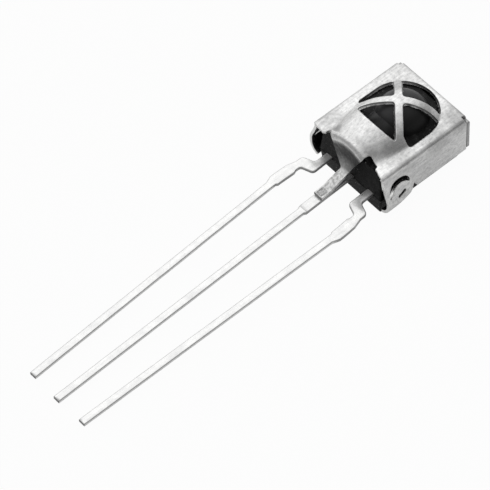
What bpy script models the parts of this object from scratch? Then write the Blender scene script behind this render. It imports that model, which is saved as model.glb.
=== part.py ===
"""Infrared receiver module with a folded metal shield, lying on its back.

X runs across the three leads, +Y runs from the lead tips to the case and +Z is the side that
receives light. Inside the builders, y = 0 is the lead end of the case and z = 0 the moulded back.
The root empty then moves the whole module so that the world origin is under its middle.
"""

import math

import bmesh
import bpy
from mathutils import Vector
from mathutils.kdtree import KDTree

MM = 0.001

# Case: one folded sheet
CASE_WIDTH = 7.02 * MM
CASE_LENGTH = 7.96 * MM
CASE_FRONT_HEIGHT = 4.45 * MM
WALL_BOTTOM = 1.12 * MM
FLAP_BOTTOM = 1.25 * MM
SHEET_THICKNESS = 0.25 * MM
BEND_RADIUS = 0.39 * MM
CASE_FIT = 0.06 * MM

# Window and the drawn dome that the cross spans
WINDOW_HALF_WIDTH = 2.67 * MM
WINDOW_CENTRE_Y = 4.86 * MM
WINDOW_SIDE_FOOT_Y = 3.15 * MM
WINDOW_LEAD_EDGE_Y = 2.05 * MM
WINDOW_LEAD_EDGE_RADIUS = 4.95 * MM
CROSS_Y = 4.56 * MM
CROSS_ANGLE = math.radians(40.6)
CROSS_ARM_WIDTH = 0.52 * MM
PANE_INNER_RADIUS = 0.30 * MM
PANE_OUTER_RADIUS = 0.14 * MM
PANE_FOOT_RADIUS = 0.34 * MM
DOME_RISE = 1.68 * MM
DOME_RADIUS = 2.85 * MM
HOOD_RISE = 0.82 * MM
HOOD_RADIUS = 2.45 * MM
HOOD_CURVE = 1.5
HOOD_FILLET = 0.50 * MM
DOME_FILLET = 0.26 * MM
FAR_FADE = 0.45 * MM

# Ground strap, drawn down from the hood and laid on the middle lead
STRAP_LEFT_COLUMNS = 8
STRAP_RIGHT_COLUMNS = 6
STRAP_WIDTH = 0.76 * MM
STRAP_LEAN = 0.39 * MM
STRAP_KNEE_HEIGHT = 2.57 * MM
STRAP_REACH = 2.88 * MM
STRAP_SEAT_LENGTH = 0.90 * MM
STRAP_BEND_RADIUS = 0.26 * MM
RELIEF_LEFT_COLUMNS = 1
RELIEF_RIGHT_COLUMNS = 4
RELIEF_DEPTH = 0.22 * MM
RELIEF_ROUND_HEIGHT = 0.39 * MM
CORNER_REACH = 0.24 * MM
CORNER_STEP = 0.04 * MM
SHOULDER_DROP = 0.08 * MM
WALL_SEAM = 0.05 * MM

# Ears, bowed out of the side walls and curled under
EAR_END_Y = 2.60 * MM
EAR_BOW = 0.54 * MM
EAR_BOW_TOP_DROP = 0.45 * MM
EAR_BOW_FALL = 0.50
EAR_BOW_DROP = 2.00 * MM
EAR_BOW_FADE = 0.80 * MM
EAR_CURL_HEIGHT = 1.70 * MM
EAR_CURL_RADIUS = 1.10 * MM
EAR_CURL_ANGLE = math.radians(72.0)
EAR_ARCH_Y = 1.32 * MM
EAR_ARCH_HALF_LENGTH = 1.07 * MM
EAR_ARCH_FOOT_HEIGHT = 2.30 * MM
EAR_ARCH_OUTER_RISE = 1.13 * MM
EAR_ARCH_INNER_RISE = 0.60 * MM
EAR_NOTCH_TOP = 1.75 * MM
EAR_NOTCH_SLOPE_LENGTH = 0.34 * MM
EAR_CORNER_CUT = 0.36 * MM
EAR_SLOT_LENGTH = 0.84 * MM
EAR_SLOT_WIDTH = 0.20 * MM
EAR_SLOT_Y = 1.45 * MM
EAR_SLOT_HEIGHT = 2.00 * MM
EAR_SLOT_TILT = math.radians(4.0)

# Moulded body
BODY_SIDE_GAP = 0.16 * MM
BODY_END_GAP = 0.08 * MM
BODY_LEAD_END_Y = 0.06 * MM
BODY_DRAFT = math.tan(math.radians(5.0))
BODY_EDGE_RADIUS = 0.14 * MM
LENS_RADIUS = 1.95 * MM
LENS_Y = 4.92 * MM
LENS_GAP = 0.06 * MM
NOSE_RADIUS = 1.90 * MM
NOSE_GAP = 0.14 * MM
NOSE_LEAD_END_Y = 0.40 * MM

# Lead frame
LEAD_PITCH = 2.54 * MM
LEAD_EXIT_SPACING = 2.08 * MM
LEAD_JOG_SPACING = 3.02 * MM
LEAD_JOG_START_Y = -1.35 * MM
LEAD_JOG_END_Y = -1.69 * MM
LEAD_JOG_DEPTH = 0.88 * MM
LEAD_JOG_RADIUS = 0.26 * MM
LEAD_WIDTH = 0.58 * MM
LEAD_ROOT_WIDTH = 0.60 * MM
GROUND_ROOT_WIDTH = 0.78 * MM
DAM_BAR_Y = -4.25 * MM
LEAD_THICKNESS = 0.28 * MM
LEAD_TOP_HEIGHT = 1.75 * MM
LEAD_DROOP_START_Y = -0.40 * MM
LEAD_TIP_TOP_HEIGHT = 0.42 * MM
OUTPUT_LEAD_LENGTH = 26.15 * MM
GROUND_LEAD_LENGTH = 26.24 * MM
SUPPLY_LEAD_LENGTH = 26.18 * MM
POST_WIDTH = 0.84 * MM
POST_START_Y = 1.60 * MM
POST_END_Y = 3.40 * MM
PADDLE_WIDTH = 2.50 * MM
PADDLE_START_Y = 1.30 * MM
PADDLE_END_Y = 6.00 * MM

# Chips and wires
PHOTODIODE_SIDE = 1.60 * MM
RECEIVER_WIDTH = 1.10 * MM
RECEIVER_LENGTH = 0.95 * MM
RECEIVER_Y = 2.45 * MM
CHIP_THICKNESS = 0.28 * MM
ATTACH_THICKNESS = 0.04 * MM
ATTACH_MARGIN = 0.05 * MM
WIRE_DIAMETER = 0.04 * MM
WIRE_RISE = 0.42 * MM
WIRE_POINTS = 9
PAD_INSET = 0.16 * MM

# Clearances
MOULD_GAP = 0.02 * MM
CONTACT_GAP = 0.01 * MM

# Sheet facets
FACE_COLUMNS = 13
FACE_ROWS = 30
BEND_STEPS = 4
WALL_STEPS = 6
EAR_STEPS = 2
CURL_STEPS = 4
FLAP_STEPS = 2
TRAPEZOID_STEPS = 5
ARC_STEPS = 10
CORNER_STEPS = 4

# Values that follow from the sizes above
FACE_HALF = CASE_WIDTH / 2 - BEND_RADIUS
BEND_ARC = BEND_RADIUS * math.pi / 2
FAR_BEND_Y = CASE_LENGTH - BEND_RADIUS
WALL_END_Y = CASE_LENGTH - SHEET_THICKNESS - WALL_SEAM
WALL_DROP = CASE_FRONT_HEIGHT - WALL_BOTTOM
FLAP_DROP = CASE_FRONT_HEIGHT - FLAP_BOTTOM
EAR_BOW_TOP = CASE_FRONT_HEIGHT - EAR_BOW_TOP_DROP
COLUMN_WIDTH = FACE_HALF / FACE_COLUMNS
INNER_HALF_WIDTH = CASE_WIDTH / 2 - SHEET_THICKNESS
BODY_FRONT = CASE_FRONT_HEIGHT - SHEET_THICKNESS - CASE_FIT
BODY_HALF_WIDTH = INNER_HALF_WIDTH - BODY_SIDE_GAP
BODY_FAR_Y = CASE_LENGTH - SHEET_THICKNESS - BODY_END_GAP
LENS_TOP = CASE_FRONT_HEIGHT + DOME_RISE - SHEET_THICKNESS - LENS_GAP
NOSE_TOP = CASE_FRONT_HEIGHT + HOOD_RISE - SHEET_THICKNESS - NOSE_GAP
CHIP_TOP = LEAD_TOP_HEIGHT + ATTACH_THICKNESS + CHIP_THICKNESS + 2 * CONTACT_GAP
LONGEST_LEAD = max(OUTPUT_LEAD_LENGTH, GROUND_LEAD_LENGTH, SUPPLY_LEAD_LENGTH)
MODULE_MIDDLE_Y = (CASE_LENGTH - LONGEST_LEAD) / 2


def ease(value):
    """Smooth step from 0 to 1."""
    value = min(max(value, 0.0), 1.0)
    return value * value * (3.0 - 2.0 * value)


def clear_scene():
    for obj in list(bpy.data.objects):
        bpy.data.objects.remove(obj, do_unlink=True)


def new_collection(name, hidden=False):
    collection = bpy.data.collections.new(name)
    collection.hide_render = hidden
    bpy.context.scene.collection.children.link(collection)
    return collection


def make_material(name, colour, roughness, metallic):
    material = bpy.data.materials.new(name)
    material.use_nodes = True
    shader = material.node_tree.nodes["Principled BSDF"]
    shader.inputs["Base Color"].default_value = (*colour, 1.0)
    shader.inputs["Roughness"].default_value = roughness
    shader.inputs["Metallic"].default_value = metallic
    return material


def object_from_bmesh(name, shape, collection):
    mesh = bpy.data.meshes.new(name)
    shape.to_mesh(mesh)
    shape.free()
    obj = bpy.data.objects.new(name, mesh)
    collection.objects.link(obj)
    return obj


def hide_cutter(obj):
    obj.hide_render = True
    obj.display_type = "WIRE"
    return obj


def add_boolean(obj, other, operation):
    modifier = obj.modifiers.new(f"{operation.lower()}_{other.name}", "BOOLEAN")
    modifier.operation = operation
    modifier.object = other
    return modifier


def circle_arc(centre, radius, start, end, steps):
    """Points on an arc, both ends included."""
    points = []
    for step in range(steps + 1):
        angle = start + (end - start) * step / steps
        x = centre[0] + radius * math.cos(angle)
        y = centre[1] + radius * math.sin(angle)
        points.append((x, y))
    return points


def bowed_line(start, end, rise, steps):
    """Points on the arc from start to end whose middle stands off the chord by rise, to its left."""
    points = []
    for step in range(steps + 1):
        share = step / steps
        lift = 4.0 * rise * share * (1.0 - share)
        along = (end[0] - start[0], end[1] - start[1])
        length = math.hypot(*along)
        x = start[0] + along[0] * share - along[1] / length * lift
        y = start[1] + along[1] * share + along[0] / length * lift
        points.append((x, y))
    return points


def round_corner(before, corner, after, radius, steps=CORNER_STEPS):
    """Points that round one corner of an outline or path."""
    to_before = (before[0] - corner[0], before[1] - corner[1])
    to_after = (after[0] - corner[0], after[1] - corner[1])
    reach_before = math.hypot(*to_before)
    reach_after = math.hypot(*to_after)
    cosine = (to_before[0] * to_after[0] + to_before[1] * to_after[1]) / (reach_before * reach_after)
    half = math.acos(min(max(cosine, -1.0), 1.0)) / 2
    trim = min(radius / math.tan(half), 0.49 * reach_before, 0.49 * reach_after)
    start = [corner[i] + to_before[i] / reach_before * trim for i in (0, 1)]
    end = [corner[i] + to_after[i] / reach_after * trim for i in (0, 1)]
    points = []
    for step in range(steps + 1):
        share = step / steps
        weights = ((1 - share) ** 2, 2 * share * (1 - share), share**2)
        point = [weights[0] * start[i] + weights[1] * corner[i] + weights[2] * end[i] for i in (0, 1)]
        points.append(tuple(point))
    return points


def round_path(points, radius, steps=CORNER_STEPS):
    """An open path with its inner corners rounded."""
    path = [points[0]]
    for before, corner, after in zip(points, points[1:], points[2:]):
        path.extend(round_corner(before, corner, after, radius, steps))
    path.append(points[-1])
    return path


def plate_mesh(name, outline, thickness, collection):
    """A flat plate of the given outline, its middle plane at z = 0, as a mesh object."""
    curve = bpy.data.curves.new(name, "CURVE")
    curve.dimensions = "2D"
    curve.fill_mode = "BOTH"
    curve.extrude = thickness / 2
    spline = curve.splines.new("POLY")
    spline.points.add(len(outline) - 1)
    for point, (x, y) in zip(spline.points, outline):
        point.co = (x, y, 0.0, 1.0)
    spline.use_cyclic_u = True
    return mesh_from_curve(name, curve, collection)


def mesh_from_curve(name, curve, collection):
    """The curve's solid as a welded mesh object with its faces pointing out."""
    source = bpy.data.objects.new(name + "_curve", curve)
    collection.objects.link(source)
    graph = bpy.context.evaluated_depsgraph_get()
    mesh = bpy.data.meshes.new_from_object(source.evaluated_get(graph))
    mesh.name = name
    bpy.data.objects.remove(source, do_unlink=True)
    shape = bmesh.new()
    shape.from_mesh(mesh)
    bmesh.ops.remove_doubles(shape, verts=shape.verts, dist=1e-7)
    bmesh.ops.recalc_face_normals(shape, faces=shape.faces)
    shape.to_mesh(mesh)
    shape.free()
    obj = bpy.data.objects.new(name, mesh)
    collection.objects.link(obj)
    return obj


def box_object(name, size, centre, collection):
    shape = bmesh.new()
    bmesh.ops.create_cube(shape, size=1.0)
    bmesh.ops.scale(shape, vec=size, verts=shape.verts)
    bmesh.ops.translate(shape, vec=centre, verts=shape.verts)
    return object_from_bmesh(name, shape, collection)


def move_points(obj, change):
    """Replaces each point of a mesh by what change makes of it."""
    for vertex in obj.data.vertices:
        vertex.co = change(*vertex.co)


def form_distance(x, y):
    """Distance from the spine of the drawn form: a line to the leads, round at the far end."""
    return math.hypot(x, max(y - WINDOW_CENTRE_Y, 0.0))


def form_share(y):
    """0 at the hood's lip, 1 at the crossing and beyond it."""
    share = min(max(y / CROSS_Y, 0.0), 1.0)
    return 1.0 - (1.0 - share) ** HOOD_CURVE


def drawn_height(x, y):
    """How far the sheet is drawn up out of its front face at a point."""
    share = form_share(y)
    rise = HOOD_RISE + (DOME_RISE - HOOD_RISE) * share
    radius = HOOD_RADIUS + (DOME_RADIUS - HOOD_RADIUS) * share
    across = form_distance(x, y)
    drop = radius - math.sqrt(max(radius**2 - across**2, 0.0))
    bare = rise - drop
    fillet = HOOD_FILLET + (DOME_FILLET - HOOD_FILLET) * share
    height = max(bare, 0.0) + max(fillet - abs(bare), 0.0) ** 2 / (4 * fillet)
    return height * ease((FAR_BEND_Y - y) / FAR_FADE)


def ear_bow(y, z):
    """How far a side wall is bowed outwards at a point."""
    top = EAR_BOW_TOP - EAR_BOW_FALL * y
    down = ease((top - z) / EAR_BOW_DROP)
    along = ease((EAR_END_Y + EAR_BOW_FADE / 2 - y) / EAR_BOW_FADE)
    return EAR_BOW * down * along


def strap_path():
    """The strap's outer face from the hood's lip to its end, as (y, z) points."""
    lip = CASE_FRONT_HEIGHT + HOOD_RISE
    seat = lead_drop(-STRAP_REACH) + LEAD_TOP_HEIGHT + SHEET_THICKNESS + MOULD_GAP
    seat_start = -STRAP_REACH + STRAP_SEAT_LENGTH
    seat_top = lead_drop(seat_start) + LEAD_TOP_HEIGHT + SHEET_THICKNESS + MOULD_GAP
    corners = [
        (RELIEF_DEPTH, lip),
        (0.0, lip),
        (-STRAP_LEAN, STRAP_KNEE_HEIGHT),
        (seat_start, seat_top),
        (-STRAP_REACH, seat),
    ]
    return round_path(corners, STRAP_BEND_RADIUS)


def point_along(path, distance):
    """The point at a distance along a path."""
    for start, end in zip(path, path[1:]):
        step = math.dist(start, end)
        if distance <= step:
            share = distance / step
            return [start[i] + (end[i] - start[i]) * share for i in (0, 1)]
        distance -= step
    return list(path[-1])


def path_stations(path, straight_steps):
    """Distances along a path: every corner point, and a few more on each long run."""
    stations = [0.0]
    long_run = 2 * BEND_RADIUS
    for start, end in zip(path, path[1:]):
        run = math.dist(start, end)
        steps = straight_steps if run > long_run else 1
        first = stations[-1]
        stations.extend(first + run * (step + 1) / steps for step in range(steps))
    return stations


def strap_root(side):
    """Half the strap's width at its root, on the right for side 1 and on the left for side -1."""
    columns = STRAP_RIGHT_COLUMNS if side > 0 else STRAP_LEFT_COLUMNS
    return columns * COLUMN_WIDTH


def strap_half_width(distance, side):
    """Half the strap's width: it narrows from the lip to the knee and then stays."""
    fall = CASE_FRONT_HEIGHT + HOOD_RISE - STRAP_KNEE_HEIGHT
    share = min(max((distance - RELIEF_DEPTH) / fall, 0.0), 1.0)
    return strap_root(side) + (STRAP_WIDTH / 2 - strap_root(side)) * share


def strap_point(path, s, distance, side):
    """A point of the strap, whose arched root flattens on its way down."""
    y, z = point_along(path, distance)
    arch = drawn_height(s, 0.0) - drawn_height(0.0, 0.0)
    z += arch * (1.0 - ease(distance / (2 * strap_root(side))))
    return (s * strap_half_width(distance, side) / strap_root(side), y, z)


def lead_edge_y(s, t):
    """Where the case's lead edge lies: its front corners reach past the walls."""
    if t >= 0.0:
        return t
    round_bend = ease((s - FACE_HALF) / BEND_ARC)
    return t * (1.0 - round_bend * (1.0 - CORNER_STEP / CORNER_REACH))


def ear_bottom_arc():
    return EAR_CURL_RADIUS * EAR_CURL_ANGLE


def wall_point(s, y):
    """A point on the bend or wall beside the front face, for the length s from its edge."""
    if s <= BEND_ARC:
        angle = s / BEND_RADIUS
        x = FACE_HALF + BEND_RADIUS * math.sin(angle)
        z = CASE_FRONT_HEIGHT - BEND_RADIUS * (1 - math.cos(angle))
        return (x + ear_bow(y, z), y, z)
    z = CASE_FRONT_HEIGHT - BEND_RADIUS - (s - BEND_ARC)
    if z >= EAR_CURL_HEIGHT or y > EAR_END_Y + EAR_BOW_FADE:
        return (CASE_WIDTH / 2 + ear_bow(y, z), y, z)
    return ear_curl_point(y, EAR_CURL_HEIGHT - z)


def ear_curl_point(y, length):
    """A point of the ear's curled foot, which fades into the plain wall past the ear."""
    angle = min(length / EAR_CURL_RADIUS, EAR_CURL_ANGLE)
    curl_x = EAR_CURL_RADIUS * (math.cos(angle) - 1)
    curl_z = EAR_CURL_RADIUS * math.sin(angle)
    share = ease((EAR_END_Y + EAR_BOW_FADE / 2 - y) / EAR_BOW_FADE)
    x = CASE_WIDTH / 2 + ear_bow(y, EAR_CURL_HEIGHT) + curl_x * share
    z = EAR_CURL_HEIGHT - (curl_z * share + length * (1 - share))
    return (x, y, z)


def far_point(s, length):
    """A point on the bend or flap past the far end of the front face, or on the flap's shoulder."""
    if s > FACE_HALF:
        s = FACE_HALF + (s - FACE_HALF) * BEND_RADIUS / BEND_ARC
    if length <= BEND_ARC:
        angle = length / BEND_RADIUS
        y = FAR_BEND_Y + BEND_RADIUS * math.sin(angle)
        return (s, y, CASE_FRONT_HEIGHT - BEND_RADIUS * (1 - math.cos(angle)))
    return (s, CASE_LENGTH, CASE_FRONT_HEIGHT - BEND_RADIUS - (length - BEND_ARC))


def even_steps(start, end, steps):
    """Values after start up to and with end."""
    return [start + (end - start) * (step + 1) / steps for step in range(steps)]


def sheet_columns():
    """Lines of the flat blank on one side of the case, from its middle to the ear's foot."""
    lines = [0.0] + even_steps(0.0, FACE_HALF, FACE_COLUMNS)
    lines += even_steps(FACE_HALF, FACE_HALF + BEND_ARC, BEND_STEPS)
    wall_end = FACE_HALF + BEND_ARC + WALL_DROP - BEND_RADIUS
    curl_start = FACE_HALF + BEND_ARC + CASE_FRONT_HEIGHT - BEND_RADIUS - EAR_CURL_HEIGHT
    lines += even_steps(FACE_HALF + BEND_ARC, curl_start, WALL_STEPS)
    lines += even_steps(curl_start, wall_end, EAR_STEPS)
    lines += even_steps(wall_end, curl_start + ear_bottom_arc(), CURL_STEPS)
    return lines, wall_end


def sheet_rows(strap):
    """Lines of the flat blank along the case, from the strap's end to the flap's edge."""
    start = RELIEF_DEPTH
    stations = path_stations(strap, TRAPEZOID_STEPS)
    lines = sorted({round(start - station, 9) for station in stations} | {-CORNER_REACH, 0.0})
    ear_row = EAR_END_Y + EAR_NOTCH_SLOPE_LENGTH / 4
    near_rows = round(FACE_ROWS * ear_row / FAR_BEND_Y)
    lines += even_steps(start, ear_row, near_rows)
    lines += even_steps(ear_row, FAR_BEND_Y, FACE_ROWS - near_rows)
    flap_start = FAR_BEND_Y + BEND_ARC
    flap_end = flap_start + FLAP_DROP - BEND_RADIUS
    lines += even_steps(FAR_BEND_Y, flap_start, BEND_STEPS)
    lines += [flap_start + SHOULDER_DROP]
    lines += even_steps(flap_start + SHOULDER_DROP, flap_end, FLAP_STEPS)
    return lines, ear_row


def in_blank(s, t, side, wall_end, ear_row):
    """Whether the middle of a blank's cell lies on the sheet."""
    relief_columns = RELIEF_RIGHT_COLUMNS if side > 0 else RELIEF_LEFT_COLUMNS
    relief_end = strap_root(side) + relief_columns * COLUMN_WIDTH
    if t < RELIEF_DEPTH and s < relief_end:
        return s < strap_root(side)
    if t < -CORNER_REACH or (t < 0.0 and s > FACE_HALF + BEND_ARC):
        return False
    if s < FACE_HALF:
        return True
    shoulder = t > FAR_BEND_Y + BEND_ARC + SHOULDER_DROP
    if s < FACE_HALF + BEND_ARC:
        return t < FAR_BEND_Y or shoulder
    if t > FAR_BEND_Y + BEND_ARC:
        return False
    return s < wall_end or t < ear_row


def formed_point(s, t, side, strap):
    """Where a point of the flat blank ends up in the folded case, on the right half."""
    if t < RELIEF_DEPTH + CONTACT_GAP and s < strap_root(side) + CONTACT_GAP:
        return strap_point(strap, s, max(RELIEF_DEPTH - t, 0.0), side)
    if t > FAR_BEND_Y + BEND_ARC or (t > FAR_BEND_Y and s <= FACE_HALF):
        return far_point(s, t - FAR_BEND_Y)
    if t > FAR_BEND_Y:
        t = FAR_BEND_Y + (t - FAR_BEND_Y) * (WALL_END_Y - FAR_BEND_Y) / BEND_ARC
    y = lead_edge_y(s, t)
    if s > FACE_HALF:
        return wall_point(s - FACE_HALF, y)
    return (s, y, CASE_FRONT_HEIGHT + drawn_height(s, max(y, 0.0)))


def flat_blank(collection):
    """The flat sheet that the case is pressed from, its outer face up at z = 0."""
    half_columns, wall_end = sheet_columns()
    columns = [-line for line in half_columns[:0:-1]] + half_columns
    rows, ear_row = sheet_rows(strap_path())
    shape = bmesh.new()
    bmesh.ops.create_grid(shape, x_segments=len(columns) - 1, y_segments=len(rows) - 1, size=1.0)
    for vertex in shape.verts:
        column = round((vertex.co.x + 1) / 2 * (len(columns) - 1))
        row = round((vertex.co.y + 1) / 2 * (len(rows) - 1))
        vertex.co = (columns[column], rows[row], 0.0)
    outside = []
    for face in shape.faces:
        middle = face.calc_center_median()
        side = math.copysign(1, middle.x)
        if not in_blank(abs(middle.x), middle.y, side, wall_end, ear_row):
            outside.append(face)
    bmesh.ops.delete(shape, geom=outside, context="FACES")
    return object_from_bmesh("shield_case", shape, collection)


def apply_modifiers(obj):
    graph = bpy.context.evaluated_depsgraph_get()
    mesh = bpy.data.meshes.new_from_object(obj.evaluated_get(graph))
    obj.modifiers.clear()
    obj.data = mesh


def top_normal(vertex, top_faces):
    """The sheet's direction at a point of its outer face."""
    total = Vector((0.0, 0.0, 0.0))
    for loop in vertex.link_loops:
        if loop.face in top_faces:
            total += loop.face.normal * loop.calc_angle()
    return total.normalized()


def press_sheet(obj):
    """Bends and draws the cut flat sheet into the case, keeping its thickness."""
    strap = strap_path()
    shape = bmesh.new()
    shape.from_mesh(obj.data)
    bmesh.ops.triangulate(shape, faces=[face for face in shape.faces if len(face.verts) > 4])
    top = [vertex for vertex in shape.verts if vertex.co.z > -SHEET_THICKNESS / 2]
    bottom = [vertex for vertex in shape.verts if vertex.co.z <= -SHEET_THICKNESS / 2]
    top_set = set(top)
    top_faces = {face for face in shape.faces if top_set.issuperset(face.verts)}
    tree = KDTree(len(top))
    for index, vertex in enumerate(top):
        tree.insert((vertex.co.x, vertex.co.y, 0.0), index)
    tree.balance()
    above = [tree.find((vertex.co.x, vertex.co.y, 0.0))[1] for vertex in bottom]
    for vertex in top:
        side = math.copysign(1, vertex.co.x)
        x, y, z = formed_point(abs(vertex.co.x), vertex.co.y, side, strap)
        vertex.co = (side * x, y, z)
    for face in top_faces:
        face.normal_update()
    for vertex, index in zip(bottom, above):
        twin = top[index]
        vertex.co = twin.co - top_normal(twin, top_faces) * SHEET_THICKNESS
    bmesh.ops.recalc_face_normals(shape, faces=shape.faces)
    shape.to_mesh(obj.data)
    shape.free()


def rounded_outline(corners):
    """A closed outline from (x, y, radius) corners; a radius of 0 keeps a plain point."""
    outline = []
    for index, (x, y, radius) in enumerate(corners):
        if radius == 0:
            outline.append((x, y))
            continue
        before = corners[index - 1][:2]
        after = corners[(index + 1) % len(corners)][:2]
        outline.extend(round_corner(before, (x, y), after, radius))
    return outline


def far_arm_corner(side):
    """Where an edge of the right far arm meets the window's arc; side is 1 for its upper edge."""
    start = CROSS_Y - WINDOW_CENTRE_Y + side * CROSS_ARM_WIDTH / 2 / math.cos(CROSS_ANGLE)
    along = start * math.sin(CROSS_ANGLE)
    reach = math.sqrt(along**2 + WINDOW_HALF_WIDTH**2 - start**2) - along
    x = reach * math.cos(CROSS_ANGLE)
    return x, WINDOW_CENTRE_Y + start + reach * math.sin(CROSS_ANGLE)


def side_pane(side):
    """The pane on the right for side 1 and on the left for side -1."""
    arm_half = CROSS_ARM_WIDTH / 2
    inner = arm_half / math.sin(CROSS_ANGLE)
    foot = (CROSS_Y - WINDOW_SIDE_FOOT_Y) / math.tan(CROSS_ANGLE) + inner
    far_x, far_y = far_arm_corner(-1)
    end = math.atan2(far_y - WINDOW_CENTRE_Y, far_x)
    arc = circle_arc((0.0, WINDOW_CENTRE_Y), WINDOW_HALF_WIDTH, 0.0, end, ARC_STEPS)
    corners = [
        (inner, CROSS_Y, PANE_INNER_RADIUS),
        (foot, WINDOW_SIDE_FOOT_Y, PANE_OUTER_RADIUS),
        (WINDOW_HALF_WIDTH, WINDOW_SIDE_FOOT_Y, PANE_FOOT_RADIUS),
        *((x, y, 0) for x, y in arc[:-1]),
        (far_x, far_y, PANE_OUTER_RADIUS),
    ]
    return [(side * x, y) for x, y in rounded_outline(corners)]


def far_pane():
    inner = CROSS_ARM_WIDTH / 2 / math.cos(CROSS_ANGLE)
    far_x, far_y = far_arm_corner(1)
    start = math.atan2(far_y - WINDOW_CENTRE_Y, far_x)
    arc = circle_arc((0.0, WINDOW_CENTRE_Y), WINDOW_HALF_WIDTH, start, math.pi - start, ARC_STEPS)
    corners = [
        (0.0, CROSS_Y + inner, PANE_INNER_RADIUS),
        (far_x, far_y, PANE_OUTER_RADIUS),
        *((x, y, 0) for x, y in arc[1:-1]),
        (-far_x, far_y, PANE_OUTER_RADIUS),
    ]
    return rounded_outline(corners)


def lead_pane():
    """The pane on the lead side, whose long edge is bowed as y = edge + x * x / (2 * radius)."""
    top = CROSS_Y - CROSS_ARM_WIDTH / 2 / math.cos(CROSS_ANGLE)
    fall = WINDOW_LEAD_EDGE_RADIUS * math.tan(CROSS_ANGLE)
    depth = top - WINDOW_LEAD_EDGE_Y
    half = math.sqrt(fall**2 + 2 * WINDOW_LEAD_EDGE_RADIUS * depth) - fall
    corners = [(0.0, top, PANE_INNER_RADIUS)]
    for step in range(ARC_STEPS + 1):
        x = half * (2 * step / ARC_STEPS - 1)
        y = WINDOW_LEAD_EDGE_Y + x * x / (2 * WINDOW_LEAD_EDGE_RADIUS)
        radius = 0 if 0 < step < ARC_STEPS else PANE_OUTER_RADIUS
        corners.append((x, y, radius))
    return rounded_outline(corners)


def window_panes():
    """Outlines of the four panes that the cross leaves open."""
    return [side_pane(1), far_pane(), side_pane(-1), lead_pane()]


def relief_outline():
    """The round end of the wide relief beside the strap's right root."""
    half = RELIEF_RIGHT_COLUMNS * COLUMN_WIDTH / 2
    circle = circle_arc((0.0, 0.0), 1.0, 0.0, math.tau, 2 * ARC_STEPS)[:-1]
    across = half + MOULD_GAP
    return [(strap_root(1) + half + x * across, RELIEF_DEPTH + y * RELIEF_ROUND_HEIGHT) for x, y in circle]


def blank_cutter(name, outline, collection):
    """A cutter through the flat blank."""
    cutter = plate_mesh(name, outline, 4 * SHEET_THICKNESS, collection)
    return hide_cutter(cutter)


def wall_outline(outline, side):
    """An outline given as (y, z) on a side wall, laid out on the flat blank."""
    start = FACE_HALF + BEND_ARC + CASE_FRONT_HEIGHT - BEND_RADIUS
    return [(side * (start - z), y) for y, z in outline]


def ear_arch_outline():
    """The crescent slit between an ear and its wall."""
    near = (EAR_ARCH_Y - EAR_ARCH_HALF_LENGTH, EAR_ARCH_FOOT_HEIGHT)
    far = (EAR_ARCH_Y + EAR_ARCH_HALF_LENGTH, EAR_ARCH_FOOT_HEIGHT)
    radius = (EAR_ARCH_HALF_LENGTH**2 + EAR_ARCH_OUTER_RISE**2) / (2 * EAR_ARCH_OUTER_RISE)
    centre = (EAR_ARCH_Y, EAR_ARCH_FOOT_HEIGHT + EAR_ARCH_OUTER_RISE - radius)
    start = math.atan2(near[1] - centre[1], near[0] - centre[0]) % math.tau
    end = math.atan2(far[1] - centre[1], far[0] - centre[0])
    outer = circle_arc(centre, radius, start, end, 2 * ARC_STEPS)
    inner = bowed_line(near, far, EAR_ARCH_INNER_RISE, ARC_STEPS)
    return outer + inner[-2:0:-1]


def ear_notch_outline():
    """The cut between an ear's far end and the wall's plain edge."""
    notch_end = EAR_END_Y + EAR_NOTCH_SLOPE_LENGTH / 2
    corner_height = WALL_BOTTOM - EAR_CORNER_CUT / 2
    below = -SHEET_THICKNESS
    return [
        (EAR_END_Y, EAR_NOTCH_TOP - EAR_NOTCH_SLOPE_LENGTH),
        (notch_end, EAR_NOTCH_TOP),
        (notch_end + EAR_NOTCH_SLOPE_LENGTH, WALL_BOTTOM - MOULD_GAP),
        (notch_end + EAR_NOTCH_SLOPE_LENGTH, below),
        (EAR_END_Y - EAR_CORNER_CUT, below),
        (EAR_END_Y - EAR_CORNER_CUT, corner_height - EAR_CORNER_CUT),
        (EAR_END_Y, corner_height),
    ]


def ear_slot_outline():
    """The short tilted slot pressed through an ear."""
    run = (EAR_SLOT_LENGTH - EAR_SLOT_WIDTH) / 2
    dy = run * math.cos(EAR_SLOT_TILT)
    dz = run * math.sin(EAR_SLOT_TILT)
    quarter = math.pi / 2
    far = (EAR_SLOT_Y + dy, EAR_SLOT_HEIGHT + dz)
    near = (EAR_SLOT_Y - dy, EAR_SLOT_HEIGHT - dz)
    turn = EAR_SLOT_TILT
    outline = circle_arc(far, EAR_SLOT_WIDTH / 2, turn - quarter, turn + quarter, CORNER_STEPS)
    outline += circle_arc(near, EAR_SLOT_WIDTH / 2, turn + quarter, turn + 3 * quarter, CORNER_STEPS)
    return outline


def shield_cuts():
    """Every cut in the flat blank, by name."""
    cuts = {f"pane_{number}": outline for number, outline in enumerate(window_panes(), 1)}
    cuts["relief"] = relief_outline()
    for side, label in ((1, "right"), (-1, "left")):
        cuts["arch_" + label] = wall_outline(ear_arch_outline(), side)
        cuts["notch_" + label] = wall_outline(ear_notch_outline(), side)
        cuts["slot_" + label] = wall_outline(ear_slot_outline(), side)
    return cuts


def make_shield(parts, cutters):
    """The case: a flat sheet, cut while flat and then pressed into shape."""
    shield = flat_blank(parts)
    sheet = shield.modifiers.new("sheet", "SOLIDIFY")
    sheet.thickness = SHEET_THICKNESS
    sheet.offset = -1.0
    for name, outline in shield_cuts().items():
        add_boolean(shield, blank_cutter("cut_" + name, outline, cutters), "DIFFERENCE")
    apply_modifiers(shield)
    press_sheet(shield)
    return shield


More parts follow.
